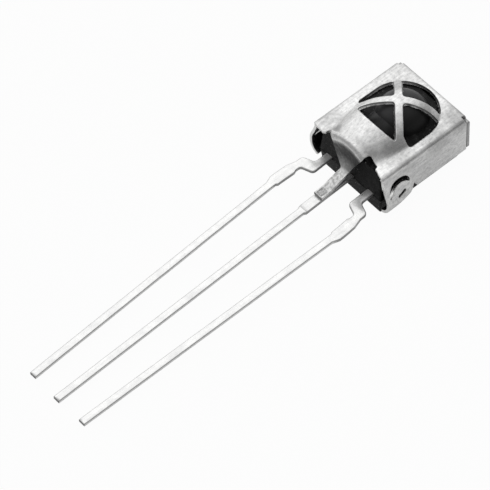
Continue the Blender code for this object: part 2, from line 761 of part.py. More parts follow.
def lead_drop(y):
    """How far a lead has sunk below its exit height at a point along it."""
    run = LONGEST_LEAD + LEAD_DROOP_START_Y
    slope = (LEAD_TOP_HEIGHT - LEAD_TIP_TOP_HEIGHT) / run
    return min(y - LEAD_DROOP_START_Y, 0.0) * slope


def jog_edge(x, side):
    """Where one edge of an outer lead's slanted jog lies at a distance from the middle."""
    run = LEAD_JOG_SPACING - LEAD_EXIT_SPACING
    slope = (LEAD_JOG_END_Y - LEAD_JOG_START_Y) / run
    return LEAD_JOG_START_Y + (x - LEAD_EXIT_SPACING) * slope + side * LEAD_JOG_DEPTH / 2


def outer_lead_edge(length, side):
    """One long edge of an outer lead, from its bond post to its tip; side is 1 away from the middle."""
    half = LEAD_WIDTH / 2
    root = LEAD_ROOT_WIDTH / 2
    slope = (LEAD_JOG_SPACING - LEAD_PITCH) / (length + LEAD_JOG_END_Y)
    dam = LEAD_JOG_SPACING + (DAM_BAR_Y - LEAD_JOG_END_Y) * slope
    first = LEAD_EXIT_SPACING + side * root
    second = LEAD_JOG_SPACING + side * root
    corners = [
        (first, POST_START_Y),
        (first, jog_edge(first, side)),
        (second, jog_edge(second, side)),
        (dam + side * root, DAM_BAR_Y),
    ]
    post = (LEAD_EXIT_SPACING + side * POST_WIDTH / 2, POST_START_Y)
    below_dam = (dam + side * half, DAM_BAR_Y - LEAD_THICKNESS / 2)
    tip = (LEAD_PITCH + side * half, -length)
    return [(post[0], POST_END_Y), post] + round_path(corners, LEAD_JOG_RADIUS) + [below_dam, tip]


def outer_lead_outline(length):
    """An outer lead with its bond post, its jog and the wider stretch down to its dam bar."""
    return outer_lead_edge(length, -1) + outer_lead_edge(length, 1)[::-1]


def ground_lead_outline(length):
    """The middle lead, straight, with the paddle that carries both chips."""
    half = LEAD_WIDTH / 2
    root = GROUND_ROOT_WIDTH / 2
    paddle = PADDLE_WIDTH / 2
    right = [
        (half, -length),
        (half, DAM_BAR_Y - LEAD_THICKNESS / 2),
        (root, DAM_BAR_Y),
        (root, PADDLE_START_Y),
        (paddle, PADDLE_START_Y),
        (paddle, PADDLE_END_Y),
    ]
    return right + [(-x, y) for x, y in reversed(right)]


def place_lead(lead):
    """Splits a lead at its bend lines, lifts it to its exit height and lets it droop."""
    shape = bmesh.new()
    shape.from_mesh(lead.data)
    for y in (LEAD_DROOP_START_Y, DAM_BAR_Y):
        everything = list(shape.verts) + list(shape.edges) + list(shape.faces)
        bmesh.ops.bisect_plane(shape, geom=everything, dist=1e-8, plane_co=(0, y, 0), plane_no=(0, 1, 0))
    shape.to_mesh(lead.data)
    shape.free()
    middle = LEAD_TOP_HEIGHT - LEAD_THICKNESS / 2
    move_points(lead, lambda x, y, z: (x, y, z + middle + lead_drop(y)))
    return lead


def make_lead(name, outline, parts, side=1):
    lead = place_lead(plate_mesh(name, outline, LEAD_THICKNESS, parts))
    if side < 0:
        move_points(lead, lambda x, y, z: (-x, y, z))
        lead.data.flip_normals()
    return lead


def make_leads(parts):
    return [
        make_lead("lead_output", outer_lead_outline(OUTPUT_LEAD_LENGTH), parts, side=-1),
        make_lead("lead_ground", ground_lead_outline(GROUND_LEAD_LENGTH), parts),
        make_lead("lead_supply", outer_lead_outline(SUPPLY_LEAD_LENGTH), parts),
    ]


def make_lead_rooms(cutters):
    """Box cutters that leave room in the moulding for the flat roots of the leads."""
    outside = -LEAD_ROOT_WIDTH
    layout = (
        ("output_root", -LEAD_EXIT_SPACING, LEAD_ROOT_WIDTH, outside, POST_START_Y),
        ("output_post", -LEAD_EXIT_SPACING, POST_WIDTH, POST_START_Y, POST_END_Y),
        ("supply_root", LEAD_EXIT_SPACING, LEAD_ROOT_WIDTH, outside, POST_START_Y),
        ("supply_post", LEAD_EXIT_SPACING, POST_WIDTH, POST_START_Y, POST_END_Y),
        ("ground_root", 0.0, GROUND_ROOT_WIDTH, outside, PADDLE_START_Y),
        ("paddle", 0.0, PADDLE_WIDTH, PADDLE_START_Y, PADDLE_END_Y),
    )
    rooms = []
    middle = LEAD_TOP_HEIGHT - LEAD_THICKNESS / 2
    for name, x, width, start, end in layout:
        room_size = (width, end - start, LEAD_THICKNESS)
        size = [side + 2 * MOULD_GAP for side in room_size]
        rooms.append(box_object("cut_" + name, size, (x, (start + end) / 2, middle), cutters))
    return [hide_cutter(room) for room in rooms]


def make_stack(name, width, length, centre_y, parts, cutters):
    """A chip on its die attach, and one cutter that leaves room for both."""
    attach_bottom = LEAD_TOP_HEIGHT + CONTACT_GAP
    attach_z = attach_bottom + ATTACH_THICKNESS / 2
    chip_z = attach_bottom + ATTACH_THICKNESS + CONTACT_GAP + CHIP_THICKNESS / 2
    attach_size = (width + 2 * ATTACH_MARGIN, length + 2 * ATTACH_MARGIN, ATTACH_THICKNESS)
    attach = box_object(name + "_attach", attach_size, (0.0, centre_y, attach_z), parts)
    chip = box_object(name + "_chip", (width, length, CHIP_THICKNESS), (0.0, centre_y, chip_z), parts)
    room_top = CHIP_TOP + MOULD_GAP
    room_height = room_top - LEAD_TOP_HEIGHT + LEAD_THICKNESS / 2
    room_size = (attach_size[0] + 2 * MOULD_GAP, attach_size[1] + 2 * MOULD_GAP, room_height)
    room_centre = (0.0, centre_y, room_top - room_height / 2)
    room = hide_cutter(box_object("cut_" + name, room_size, room_centre, cutters))
    return [chip, attach], room


def wire_points(start, end, rise):
    """A bond wire's loop from one pad to the other."""
    points = []
    for step in range(WIRE_POINTS):
        share = step / (WIRE_POINTS - 1)
        point = [start[i] + (end[i] - start[i]) * share for i in range(3)]
        point[2] += rise * math.sin(math.pi * share) ** 0.7
        points.append(point)
    return points


def wire_tube(name, points, radius, collection):
    curve = bpy.data.curves.new(name, "CURVE")
    curve.dimensions = "3D"
    curve.bevel_depth = radius
    curve.bevel_resolution = 1
    curve.use_fill_caps = True
    spline = curve.splines.new("POLY")
    spline.points.add(len(points) - 1)
    for point, place in zip(spline.points, points):
        point.co = (*place, 1.0)
    return mesh_from_curve(name, curve, collection)


def wire_layout():
    """Each bond wire's name with its two ends."""
    lift = WIRE_DIAMETER / 2 + CONTACT_GAP
    chip_pad = CHIP_TOP + lift
    frame_pad = LEAD_TOP_HEIGHT + lift
    receiver_side = RECEIVER_WIDTH / 2 - PAD_INSET
    receiver_far = RECEIVER_Y + RECEIVER_LENGTH / 2 - PAD_INSET
    receiver_near = RECEIVER_Y - RECEIVER_LENGTH / 2 + PAD_INSET
    diode_near = WINDOW_CENTRE_Y - PHOTODIODE_SIDE / 2 + PAD_INSET
    post = LEAD_EXIT_SPACING - POST_WIDTH / 2 + PAD_INSET
    paddle_side = PADDLE_WIDTH / 2 - PAD_INSET
    return (
        ("wire_photodiode", (0.0, diode_near, chip_pad), (0.0, receiver_far, chip_pad)),
        ("wire_output", (-receiver_side, RECEIVER_Y, chip_pad), (-post, RECEIVER_Y, frame_pad)),
        ("wire_supply", (receiver_side, RECEIVER_Y, chip_pad), (post, RECEIVER_Y, frame_pad)),
        ("wire_ground", (receiver_side, receiver_near, chip_pad), (paddle_side, receiver_near, frame_pad)),
    )


def make_wires(parts, cutters):
    """The bond wires, and for each the cutter that leaves room for it in the moulding."""
    wires = []
    rooms = []
    for name, start, end in wire_layout():
        points = wire_points(start, end, WIRE_RISE)
        wires.append(wire_tube(name, points, WIRE_DIAMETER / 2, parts))
        room = wire_tube("cut_" + name, points, WIRE_DIAMETER / 2 + MOULD_GAP, cutters)
        rooms.append(hide_cutter(room))
    return wires, rooms


def make_block(parts):
    """The moulded block, drafted both ways from the plane of the leads."""
    shape = bmesh.new()
    bmesh.ops.create_cube(shape, size=1.0)
    length = BODY_FAR_Y - BODY_LEAD_END_Y
    bmesh.ops.scale(shape, vec=(2 * BODY_HALF_WIDTH, length, BODY_FRONT), verts=shape.verts)
    middle_y = BODY_LEAD_END_Y + length / 2
    bmesh.ops.translate(shape, vec=(0.0, middle_y, BODY_FRONT / 2), verts=shape.verts)
    parting = LEAD_TOP_HEIGHT - LEAD_THICKNESS / 2
    everything = list(shape.verts) + list(shape.edges) + list(shape.faces)
    bmesh.ops.bisect_plane(
        shape, geom=everything, dist=1e-8, plane_co=(0, 0, parting), plane_no=(0, 0, 1)
    )
    for vertex in shape.verts:
        inset = abs(vertex.co.z - parting) * BODY_DRAFT
        vertex.co.x -= math.copysign(inset, vertex.co.x)
        vertex.co.y -= math.copysign(inset, vertex.co.y - middle_y)
    return object_from_bmesh("epoxy_body", shape, parts)


def make_lens(cutters):
    """The lens ball, which the block is joined to."""
    shape = bmesh.new()
    bmesh.ops.create_uvsphere(shape, u_segments=32, v_segments=16, radius=LENS_RADIUS)
    centre = (0.0, LENS_Y, LENS_TOP - LENS_RADIUS)
    bmesh.ops.translate(shape, vec=centre, verts=shape.verts)
    return hide_cutter(object_from_bmesh("join_lens", shape, cutters))


def make_nose(cutters):
    """The rounded ridge that runs from the lens to the lead end under the hood."""
    shape = bmesh.new()
    length = LENS_Y - NOSE_LEAD_END_Y
    bmesh.ops.create_cone(
        shape, cap_ends=True, segments=32, radius1=NOSE_RADIUS, radius2=NOSE_RADIUS, depth=length
    )
    nose = object_from_bmesh("join_nose", shape, cutters)
    axis_z = NOSE_TOP - NOSE_RADIUS
    middle_y = NOSE_LEAD_END_Y + length / 2
    move_points(nose, lambda x, y, z: (x, middle_y + z, axis_z - y))
    return hide_cutter(nose)


def make_body(parts, cutters, rooms):
    """The moulded body with its lens, hollow only where it holds its inner pieces."""
    body = make_block(parts)
    rounding = body.modifiers.new("edges", "BEVEL")
    rounding.width = BODY_EDGE_RADIUS
    rounding.segments = 2
    rounding.limit_method = "ANGLE"
    rounding.angle_limit = math.radians(40.0)
    add_boolean(body, make_lens(cutters), "UNION")
    add_boolean(body, make_nose(cutters), "UNION")
    for room in rooms:
        add_boolean(body, room, "DIFFERENCE")
    return body


def finish(obj, material):
    obj.data.materials.clear()
    obj.data.materials.append(material)
    obj.data.shade_smooth()
    obj.data.set_sharp_from_angle(angle=math.radians(42.0))


def main():
    clear_scene()
    parts = new_collection("infrared_receiver_module")
    cutters = new_collection("cutters", hidden=True)

    tinplate = make_material("tinplate", (0.78, 0.78, 0.77), 0.32, 1.0)
    solder = make_material("tinned_lead", (0.82, 0.82, 0.81), 0.25, 1.0)
    epoxy = make_material("black_epoxy", (0.012, 0.012, 0.014), 0.30, 0.0)
    silicon = make_material("silicon", (0.10, 0.11, 0.14), 0.20, 0.3)
    silver_paste = make_material("silver_paste", (0.55, 0.55, 0.54), 0.60, 0.8)
    gold = make_material("gold_wire", (0.85, 0.60, 0.22), 0.25, 1.0)

    shield = make_shield(parts, cutters)
    leads = make_leads(parts)
    rooms = make_lead_rooms(cutters)
    diode, diode_room = make_stack(
        "photodiode", PHOTODIODE_SIDE, PHOTODIODE_SIDE, WINDOW_CENTRE_Y, parts, cutters
    )
    receiver, receiver_room = make_stack(
        "receiver", RECEIVER_WIDTH, RECEIVER_LENGTH, RECEIVER_Y, parts, cutters
    )
    wires, wire_rooms = make_wires(parts, cutters)
    rooms += [diode_room, receiver_room]
    body = make_body(parts, cutters, rooms + wire_rooms)

    finish(shield, tinplate)
    finish(body, epoxy)
    for lead in leads:
        finish(lead, solder)
    for chip, attach in (diode, receiver):
        finish(chip, silicon)
        finish(attach, silver_paste)
    for wire in wires:
        finish(wire, gold)

    root = bpy.data.objects.new("module_root", None)
    root.location.y = -MODULE_MIDDLE_Y
    parts.objects.link(root)
    for obj in list(parts.objects) + list(cutters.objects):
        if obj is not root:
            obj.parent = root


main()
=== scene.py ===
"""Looks of the infrared receiver module: pressed shield, black moulding and tinned leads.

Every size is in millimetres, in the case's own frame: X runs across the leads, y = 0 is the lead
end of the case and z = 0 the moulded back. Each finished mesh is then moved into the row's frame.
"""

import logging
import math
from dataclasses import dataclass
from enum import Enum
from typing import Iterable, Sequence

import bmesh
import bpy
import numpy as np
from mathutils import Matrix, Vector, noise
from mathutils.geometry import delaunay_2d_cdt


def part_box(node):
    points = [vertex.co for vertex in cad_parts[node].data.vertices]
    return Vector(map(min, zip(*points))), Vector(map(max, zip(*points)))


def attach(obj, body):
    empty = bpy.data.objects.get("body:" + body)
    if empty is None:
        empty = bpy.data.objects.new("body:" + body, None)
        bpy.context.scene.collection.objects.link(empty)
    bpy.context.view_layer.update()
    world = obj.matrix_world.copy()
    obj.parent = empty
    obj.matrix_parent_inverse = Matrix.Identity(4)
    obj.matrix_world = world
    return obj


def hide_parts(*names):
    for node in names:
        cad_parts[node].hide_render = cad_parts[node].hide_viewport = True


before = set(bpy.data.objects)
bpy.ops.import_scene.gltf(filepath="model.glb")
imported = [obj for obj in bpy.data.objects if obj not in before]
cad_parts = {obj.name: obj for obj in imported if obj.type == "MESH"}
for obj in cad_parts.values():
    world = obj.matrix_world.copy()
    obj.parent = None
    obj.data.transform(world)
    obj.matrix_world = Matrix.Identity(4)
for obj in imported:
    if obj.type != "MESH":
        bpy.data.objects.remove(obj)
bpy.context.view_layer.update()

logging.basicConfig(level=logging.INFO, format="%(levelname)s %(message)s")
LOG = logging.getLogger("receiver_module")

Point = tuple[float, float]
Corner = tuple[float, float, float]
Place = tuple[float, float, float]
Shade = tuple[float, float, float]

MM = 0.001
UNITS_PER_METRE = 1000.0
MODULE_SHIFT_Y = 9.14

ARM_SHARE = 0.49
EDGE_MARGIN = 0.055
MERGE_DISTANCE = 1e-7
SLIVER_AREA = 1e-6
CUT_TOLERANCE = 1e-6
LEVEL_TOLERANCE = 1e-4
ROLL_AND_EDGE_LIGHT = "roll_and_edge_light"
STAIN_AND_SHADE = "stain_and_shade"
BURR = "burr"
OVER = "over"
UNDER = "under"


class Slot(Enum):
    """The record's material slots."""

    TINPLATE = "tinplate"
    LEAD = "tinned_lead"
    EPOXY = "black_epoxy"
    SILICON = "silicon"
    PASTE = "silver_paste"
    GOLD = "gold_wire"


class Side(Enum):
    """Which half of the module a shape lies on."""

    LEFT = -1
    RIGHT = 1


# Outlines


def ease(value: float) -> float:
    """Smooth step from 0 to 1."""
    value = min(max(value, 0.0), 1.0)
    return value * value * (3.0 - 2.0 * value)


def ellipse_arc(centre: Point, radii: Point, start: float, end: float, steps: int) -> list[Point]:
    """Points on an arc of an ellipse, both ends included.

    Args:
        centre: Middle of the ellipse.
        radii: Half its size along each axis.
        start: First angle in radians.
        end: Last angle in radians.
        steps: How many straight runs make the arc.

    Returns:
        The points in order.
    """
    angles = [start + (end - start) * step / steps for step in range(steps + 1)]
    return [(centre[0] + radii[0] * math.cos(a), centre[1] + radii[1] * math.sin(a)) for a in angles]


def rounded_corner(
    before: Point, corner: Point, after: Point, radius: float, steps: int = 6
) -> list[Point]:
    """Points that round one corner.

    Args:
        before: The point ahead of the corner.
        corner: The corner itself.
        after: The point behind it.
        radius: Radius of the rounding.
        steps: How many straight runs make it.

    Returns:
        The points that take the corner's place.
    """
    arms = [(before[0] - corner[0], before[1] - corner[1]), (after[0] - corner[0], after[1] - corner[1])]
    reach = [math.hypot(*arm) for arm in arms]
    cosine = (arms[0][0] * arms[1][0] + arms[0][1] * arms[1][1]) / (reach[0] * reach[1])
    half = math.acos(min(max(cosine, -1.0), 1.0)) / 2
    trim = min(radius / math.tan(half), ARM_SHARE * reach[0], ARM_SHARE * reach[1])
    ends = [[corner[i] + arm[i] / length * trim for i in (0, 1)] for arm, length in zip(arms, reach)]
    points = []
    for step in range(steps + 1):
        share = step / steps
        weights = ((1 - share) ** 2, 2 * share * (1 - share), share**2)
        point = [weights[0] * ends[0][i] + weights[1] * corner[i] + weights[2] * ends[1][i] for i in (0, 1)]
        points.append((point[0], point[1]))
    return points


def rounded_loop(corners: Sequence[Corner]) -> list[Point]:
    """A closed outline from (x, y, radius) corners, where a radius of 0 keeps a plain point.

    Args:
        corners: The corners in order.

    Returns:
        The outline's points.
    """
    loop: list[Point] = []
    for index, (x, y, radius) in enumerate(corners):
        if radius == 0:
            loop.append((x, y))
            continue
        before = corners[index - 1][:2]
        after = corners[(index + 1) % len(corners)][:2]
        loop.extend(rounded_corner(before, (x, y), after, radius))
    return loop


def rounded_path(points: Sequence[Point], radius: float, steps: int = 6) -> list[Point]:
    """An open path with its inner corners rounded.

    Args:
        points: The path's points, both ends included.
        radius: Radius of each inner corner.
        steps: How many straight runs round one corner.

    Returns:
        The rounded path's points.
    """
    path = [points[0]]
    for before, corner, after in zip(points, points[1:], points[2:]):
        path.extend(rounded_corner(before, corner, after, radius, steps))
    path.append(points[-1])
    return path


def away_from(points: Iterable[Point], corner: Point, distance: float) -> list[Point]:
    """The points that leave room for a corner's rounding."""
    return [point for point in points if math.dist(point, corner) > distance]


def even_loop(loop: Sequence[Point], spacing: float) -> list[Point]:
    """A closed loop with its long runs split and its crowded points thinned.

    Args:
        loop: The loop's points.
        spacing: The longest run that is left.

    Returns:
        The new loop.
    """
    kept: list[Point] = []
    for point in loop:
        if not kept or math.dist(kept[-1], point) > spacing / 4:
            kept.append(point)
    if math.dist(kept[-1], kept[0]) <= spacing / 4:
        kept.pop()
    even: list[Point] = []
    for start, end in zip(kept, kept[1:] + kept[:1]):
        steps = max(1, math.ceil(math.dist(start, end) / spacing))
        even += [tuple(start[i] + (end[i] - start[i]) * k / steps for i in (0, 1)) for k in range(steps)]
    return even


def steps_between(start: float, end: float, spacing: float) -> list[float]:
    """Values after start up to and with end, about spacing apart."""
    count = max(1, round(abs(end - start) / spacing))
    return [start + (end - start) * (step + 1) / count for step in range(count)]


def inside_loops(points: np.ndarray, loops: Sequence[Sequence[Point]]) -> np.ndarray:
    """Which points lie inside an odd number of the loops.

    Args:
        points: The points, one in each row.
        loops: The closed loops.

    Returns:
        True for each point inside.
    """
    inside = np.zeros(len(points), bool)
    x, y = points[:, 0], points[:, 1]
    for loop in loops:
        for (ax, ay), (bx, by) in zip(loop, list(loop[1:]) + [loop[0]]):
            if ay != by:
                crossing = (ay > y) != (by > y)
                inside ^= crossing & (x < (bx - ax) * (y - ay) / (by - ay) + ax)
    return inside


def clear_of_loops(points: np.ndarray, loops: Sequence[Sequence[Point]], margin: float) -> np.ndarray:
    """Which points lie further than margin from every loop's edge.

    Args:
        points: The points, one in each row.
        loops: The closed loops.
        margin: The least distance from an edge.

    Returns:
        True for each point that is clear.
    """
    clear = np.ones(len(points), bool)
    for loop in loops:
        for a, b in zip(loop, list(loop[1:]) + [loop[0]]):
            start = np.array(a)
            run = np.array(b) - start
            share = np.clip(((points - start) @ run) / (run @ run), 0.0, 1.0)
            clear &= np.hypot(*(points - start - share[:, None] * run).T) > margin
    return clear


def blank_mesh(
    loops: Sequence[Sequence[Point]], columns: Sequence[float], rows: Sequence[float]
) -> bmesh.types.BMesh:
    """A flat sheet with clean edges along its outline and its cuts.

    Args:
        loops: The outline first and then each cut.
        columns: Lines across the sheet that carry inner points.
        rows: Lines along the sheet that carry inner points.

    Returns:
        The sheet at z = 0, facing up.
    """
    places: list[Point] = []
    edges: list[tuple[int, int]] = []
    for loop in loops:
        first = len(places)
        places += loop
        edges += [(first + k, first + (k + 1) % len(loop)) for k in range(len(loop))]
    grid = np.array([(x, y) for x in columns for y in rows])
    keep = inside_loops(grid, loops) & clear_of_loops(grid, loops, EDGE_MARGIN)
    places += [tuple(point) for point in grid[keep]]
    coords, _, triangles, *_ = delaunay_2d_cdt([Vector(p) for p in places], edges, [], 0, MERGE_DISTANCE)
    flat = np.array([tuple(c) for c in coords])
    corners = flat[np.array(triangles)]
    sides = corners[:, 1:] - corners[:, :1]
    areas = np.abs(sides[:, 0, 0] * sides[:, 1, 1] - sides[:, 0, 1] * sides[:, 1, 0]) / 2
    on_sheet = inside_loops(corners.mean(axis=1), loops) & (areas > SLIVER_AREA)
    shape = bmesh.new()
    points = [shape.verts.new((x, y, 0.0)) for x, y in flat]
    for triangle, wanted in zip(triangles, on_sheet):
        if wanted:
            shape.faces.new([points[i] for i in triangle])
    bmesh.ops.delete(shape, geom=[v for v in shape.verts if not v.link_faces], context="VERTS")
    return shape


# Meshes


def mesh_object(name: str, shape: bmesh.types.BMesh) -> bpy.types.Object:
    """A new object in the scene that holds the shape, which is then freed.

    Args:
        name: The object's name, and its mesh's.
        shape: The shape.

    Returns:
        The new object.
    """
    mesh = bpy.data.meshes.new(name)
    shape.to_mesh(mesh)
    shape.free()
    piece = bpy.data.objects.new(name, mesh)
    bpy.context.scene.collection.objects.link(piece)
    return piece


def apply_modifiers(piece: bpy.types.Object) -> None:
    """Writes the result of a piece's modifiers into its mesh.

    Args:
        piece: The piece.
    """
    graph = bpy.context.evaluated_depsgraph_get()
    mesh = bpy.data.meshes.new_from_object(piece.evaluated_get(graph))
    mesh.name = piece.name
    piece.modifiers.clear()
    piece.data = mesh


def bevel_edges(piece: bpy.types.Object, width: float, segments: int, angle: float) -> None:
    """Adds a rounding to every edge that is sharper than an angle in degrees.

    Args:
        piece: The piece.
        width: Width of the rounding.
        segments: How many faces make it.
        angle: The angle in degrees.
    """
    rounding = piece.modifiers.new("edge_rounding", "BEVEL")
    rounding.width = width
    rounding.segments = segments
    rounding.limit_method = "ANGLE"
    rounding.angle_limit = math.radians(angle)
    rounding.use_clamp_overlap = False


def join_or_cut(piece: bpy.types.Object, other: bmesh.types.BMesh, operation: str) -> None:
    """Joins another shape to a piece, or cuts it out of the piece.

    Args:
        piece: The piece that changes.
        other: The shape that is joined or cut out, which is used up.
        operation: UNION or DIFFERENCE.
    """
    tool = mesh_object(f"{piece.name}_tool", other)
    boolean = piece.modifiers.new(operation, "BOOLEAN")
    boolean.operation = operation
    boolean.object = tool
    boolean.solver = "EXACT"
    apply_modifiers(piece)
    bpy.data.objects.remove(tool, do_unlink=True)


def box_shape(low: Place, high: Place) -> bmesh.types.BMesh:
    """A box between two corners.

    Args:
        low: The corner with the lowest values.
        high: The corner with the highest.

    Returns:
        The box.
    """
    shape = bmesh.new()
    bmesh.ops.create_cube(shape, size=1.0)
    size = [high[i] - low[i] for i in range(3)]
    middle = [(high[i] + low[i]) / 2 for i in range(3)]
    bmesh.ops.scale(shape, vec=size, verts=shape.verts)
    bmesh.ops.translate(shape, vec=middle, verts=shape.verts)
    return shape


def place_in_row(piece: bpy.types.Object, smooth_angle: float) -> None:
    """Takes a mesh from millimetres in the case's frame to metres in the row's frame.

    Args:
        piece: The finished piece.
        smooth_angle: Edges sharper than this many degrees stay sharp.
    """
    shift = Matrix.Translation((0.0, MODULE_SHIFT_Y * MM, 0.0))
    piece.data.transform(shift @ Matrix.Scale(MM, 4))
    piece.data.shade_smooth()
    piece.data.set_sharp_from_angle(angle=math.radians(smooth_angle))


def hand_over(
    piece: bpy.types.Object, material: bpy.types.Material, nodes: Iterable[str]
) -> None:
    """Args:
        piece: The finished piece.
        material: Its finish.
        nodes: The CAD nodes that it replaces.
    """
    piece.data.materials.clear()
    piece.data.materials.append(material)
    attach(piece, "root")
    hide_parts(*nodes)
    LOG.info("%s: %d faces", piece.name, len(piece.data.polygons))


def wobble(place: Vector, scale: float, seed: float) -> float:
    """Smooth noise between about -1 and 1 at a place, with features of a size in millimetres."""
    return noise.noise(place / scale + Vector((seed, 3.1 * seed, -seed)))


# Shield


@dataclass
class ShieldCase:
    """The case: one sheet, cut while flat and then pressed into hood, cross, strap and ears."""

    # Folded sheet
    width: float = 7.02
    length: float = 7.96
    front: float = 4.45
    wall_bottom: float = 1.12
    flap_bottom: float = 1.25
    sheet: float = 0.25
    bend: float = 0.39
    edge_rounding: float = 0.035
    smooth_angle: float = 50.0

    # Window and the cross over it
    window_half: float = 2.67
    window_y: float = 4.86
    side_foot_y: float = 3.15
    lead_edge_y: float = 2.05
    lead_edge_radius: float = 4.95
    cross_y: float = 4.56
    cross_angle: float = math.radians(40.6)
    arm_width: float = 0.52
    inner_radius: float = 0.30
    outer_radius: float = 0.14
    foot_radius: float = 0.34
    tip_radius: float = 0.24

    # Dome over the lens and hood over the nose
    dome_rise: float = 1.68
    dome_radius: float = 2.85
    dome_fillet: float = 0.26
    hood_rise: float = 0.82
    hood_radius: float = 2.45
    hood_fillet: float = 0.50
    hood_curve: float = 1.5
    far_fade: float = 0.45

    # Strap, relief cuts and far corners
    strap_left: float = 1.92
    strap_right: float = 1.44
    strap_width: float = 0.76
    strap_lean: float = 0.39
    knee_height: float = 2.57
    strap_reach: float = 2.88
    seat_length: float = 0.90
    strap_bend: float = 0.26
    strap_gap: float = 0.02
    relief_left: float = 0.24
    relief_right: float = 0.96
    relief_depth: float = 0.22
    relief_rise: float = 0.29
    corner_reach: float = 0.24
    shoulder_drop: float = 0.08
    wall_seam: float = 0.05

    # Ears with their slits and slots
    ear_end: float = 2.60
    ear_bow: float = 0.54
    bow_top_drop: float = 0.45
    bow_fall: float = 0.50
    bow_drop: float = 2.00
    bow_fade: float = 0.80
    curl_height: float = 1.70
    curl_radius: float = 1.10
    curl_angle: float = math.radians(72.0)
    arch_y: float = 1.32
    arch_half: float = 1.07
    arch_foot: float = 2.30
    arch_outer: float = 1.13
    arch_inner: float = 0.60
    notch_top: float = 1.75
    notch_slope: float = 0.34
    corner_cut: float = 0.36
    slot_length: float = 0.84
    slot_width: float = 0.20
    slot_y: float = 1.45
    slot_height: float = 2.00
    slot_tilt: float = math.radians(4.0)
    dish_depth: float = 0.07
    dish_reach: float = 0.34
    dish_fade: float = 0.16

    # Spot weld's print and its soot
    weld_place: float = 0.44
    weld_depth: float = 0.035
    weld_half_width: float = 0.27
    weld_half_length: float = 0.30
    weld_fade: float = 0.07
    soot_half_width: float = 0.30
    soot_half_length: float = 0.36
    soot_middle: float = 0.42
    soot_fade: float = 0.05

    # Spacing of the mesh
    grain: float = 0.10
    bend_grain: float = 0.75
    strap_grain: float = 0.70
    wall_grain: float = 1.30
    arc_steps: int = 24

    # Small unevenness, held inside the module's box
    widest: float = 4.05
    highest: float = 6.13
    lip_blend: float = 0.50
    raggedness: float = 0.005
    lead_end_raggedness: float = 0.022
    face_lift: float = 0.007

    # Cut edges: each rim row's width and the roll at its inner side, then the painted shade or painted
    # highlight that marks each kind of edge
    rim_steps: tuple[Point, ...] = ((0.29, 0.29), (0.71, 0.0))
    window_edge_shade: float = 1.0
    lead_end_edge_highlight: float = 0.5
    plain_edge_shade: float = 0.8
    burr_reach: float = 0.07
    burr_highlight_mark: float = 0.5
    # How dark the inner face is: painted shade and oxide
    inner_shade_and_oxide: float = 0.80
    pane_start: float = 1.90
    scorch_start: float = -2.0
    # Painted shadow on the strap's cut end
    cut_end_painted_shadow: float = 0.85

    # Length down from the hood's lip, and how dark the strap is there: painted shade for the dark
    # reflections on its bends and apron, which leaves a bright crease line between two bands
    apron_painted_shade: tuple[Point, ...] = (
        (0.00, 0.05),
        (0.20, 0.25),
        (0.38, 0.40),
        (0.52, 0.25),
        (0.64, 0.00),
        (0.76, 0.60),
        (0.95, 0.93),
        (1.60, 0.95),
        (2.20, 0.72),
        (2.80, 0.48),
        (3.30, 0.12),
    )

    # Where a grey patch lies (x, y, z), its radius and how dark it is; the patches on the hood and the dome
    # are painted shade
    grey_patches_and_shade: tuple[tuple[float, float, float, float, float], ...] = (
        (-2.57, 7.24, 4.45, 2.4, 0.16),
        (2.90, 5.20, 4.45, 1.6, 0.34),
        (-3.00, 0.90, 4.45, 1.4, 0.25),
        (2.45, 2.26, 4.47, 1.5, 0.30),
        (-1.80, 0.30, 4.70, 0.7, 0.50),
        (2.80, 7.20, 4.45, 1.4, 0.42),
        (-0.87, 5.30, 5.96, 0.6, 0.33),
        (1.47, 5.82, 5.52, 0.7, 0.38),
        (1.45, 0.70, 4.95, 0.6, 0.28),
    )

    def __post_init__(self) -> None:
        """Works out the lines that the other sizes fix."""
        self.face_half = self.width / 2 - self.bend
        self.bend_arc = self.bend * math.pi / 2
        self.far_bend = self.length - self.bend
        self.wall_start = self.face_half + self.bend_arc
        self.wall_foot = self.wall_start + self.front - self.bend
        self.wall_end_y = self.length - self.sheet - self.wall_seam
        self.flap_end = self.far_bend + self.bend_arc + self.front - self.bend - self.flap_bottom
        self.path = self.strap_path()
        self.path_length = sum(math.dist(a, b) for a, b in zip(self.path, self.path[1:]))
        self.strap_end = self.relief_depth - self.path_length

    # Where the flat sheet goes when it is pressed

    def drawn_height(self, x: float, y: float) -> float:
        """How far the sheet is drawn up out of its front face at a point.

        Args:
            x: Distance from the middle.
            y: Distance from the lead end of the case.

        Returns:
            The height above the flat face.
        """
        share = 1.0 - (1.0 - min(max(y / self.cross_y, 0.0), 1.0)) ** self.hood_curve
        rise = self.hood_rise + (self.dome_rise - self.hood_rise) * share
        radius = self.hood_radius + (self.dome_radius - self.hood_radius) * share
        across = math.hypot(x, max(y - self.window_y, 0.0))
        bare = rise - (radius - math.sqrt(max(radius**2 - across**2, 0.0)))
        fillet = self.hood_fillet + (self.dome_fillet - self.hood_fillet) * share
        height = max(bare, 0.0) + max(fillet - abs(bare), 0.0) ** 2 / (4 * fillet)
        return height * ease((self.far_bend - y) / self.far_fade)

    def bow(self, y: float, z: float) -> float:
        """How far a side wall is bowed outwards at a point.

        Args:
            y: Distance from the lead end of the case.
            z: Height above the moulded back.

        Returns:
            The distance outwards.
        """
        top = self.front - self.bow_top_drop - self.bow_fall * y
        down = ease((top - z) / self.bow_drop)
        return self.ear_bow * down * ease((self.ear_end + self.bow_fade / 2 - y) / self.bow_fade)

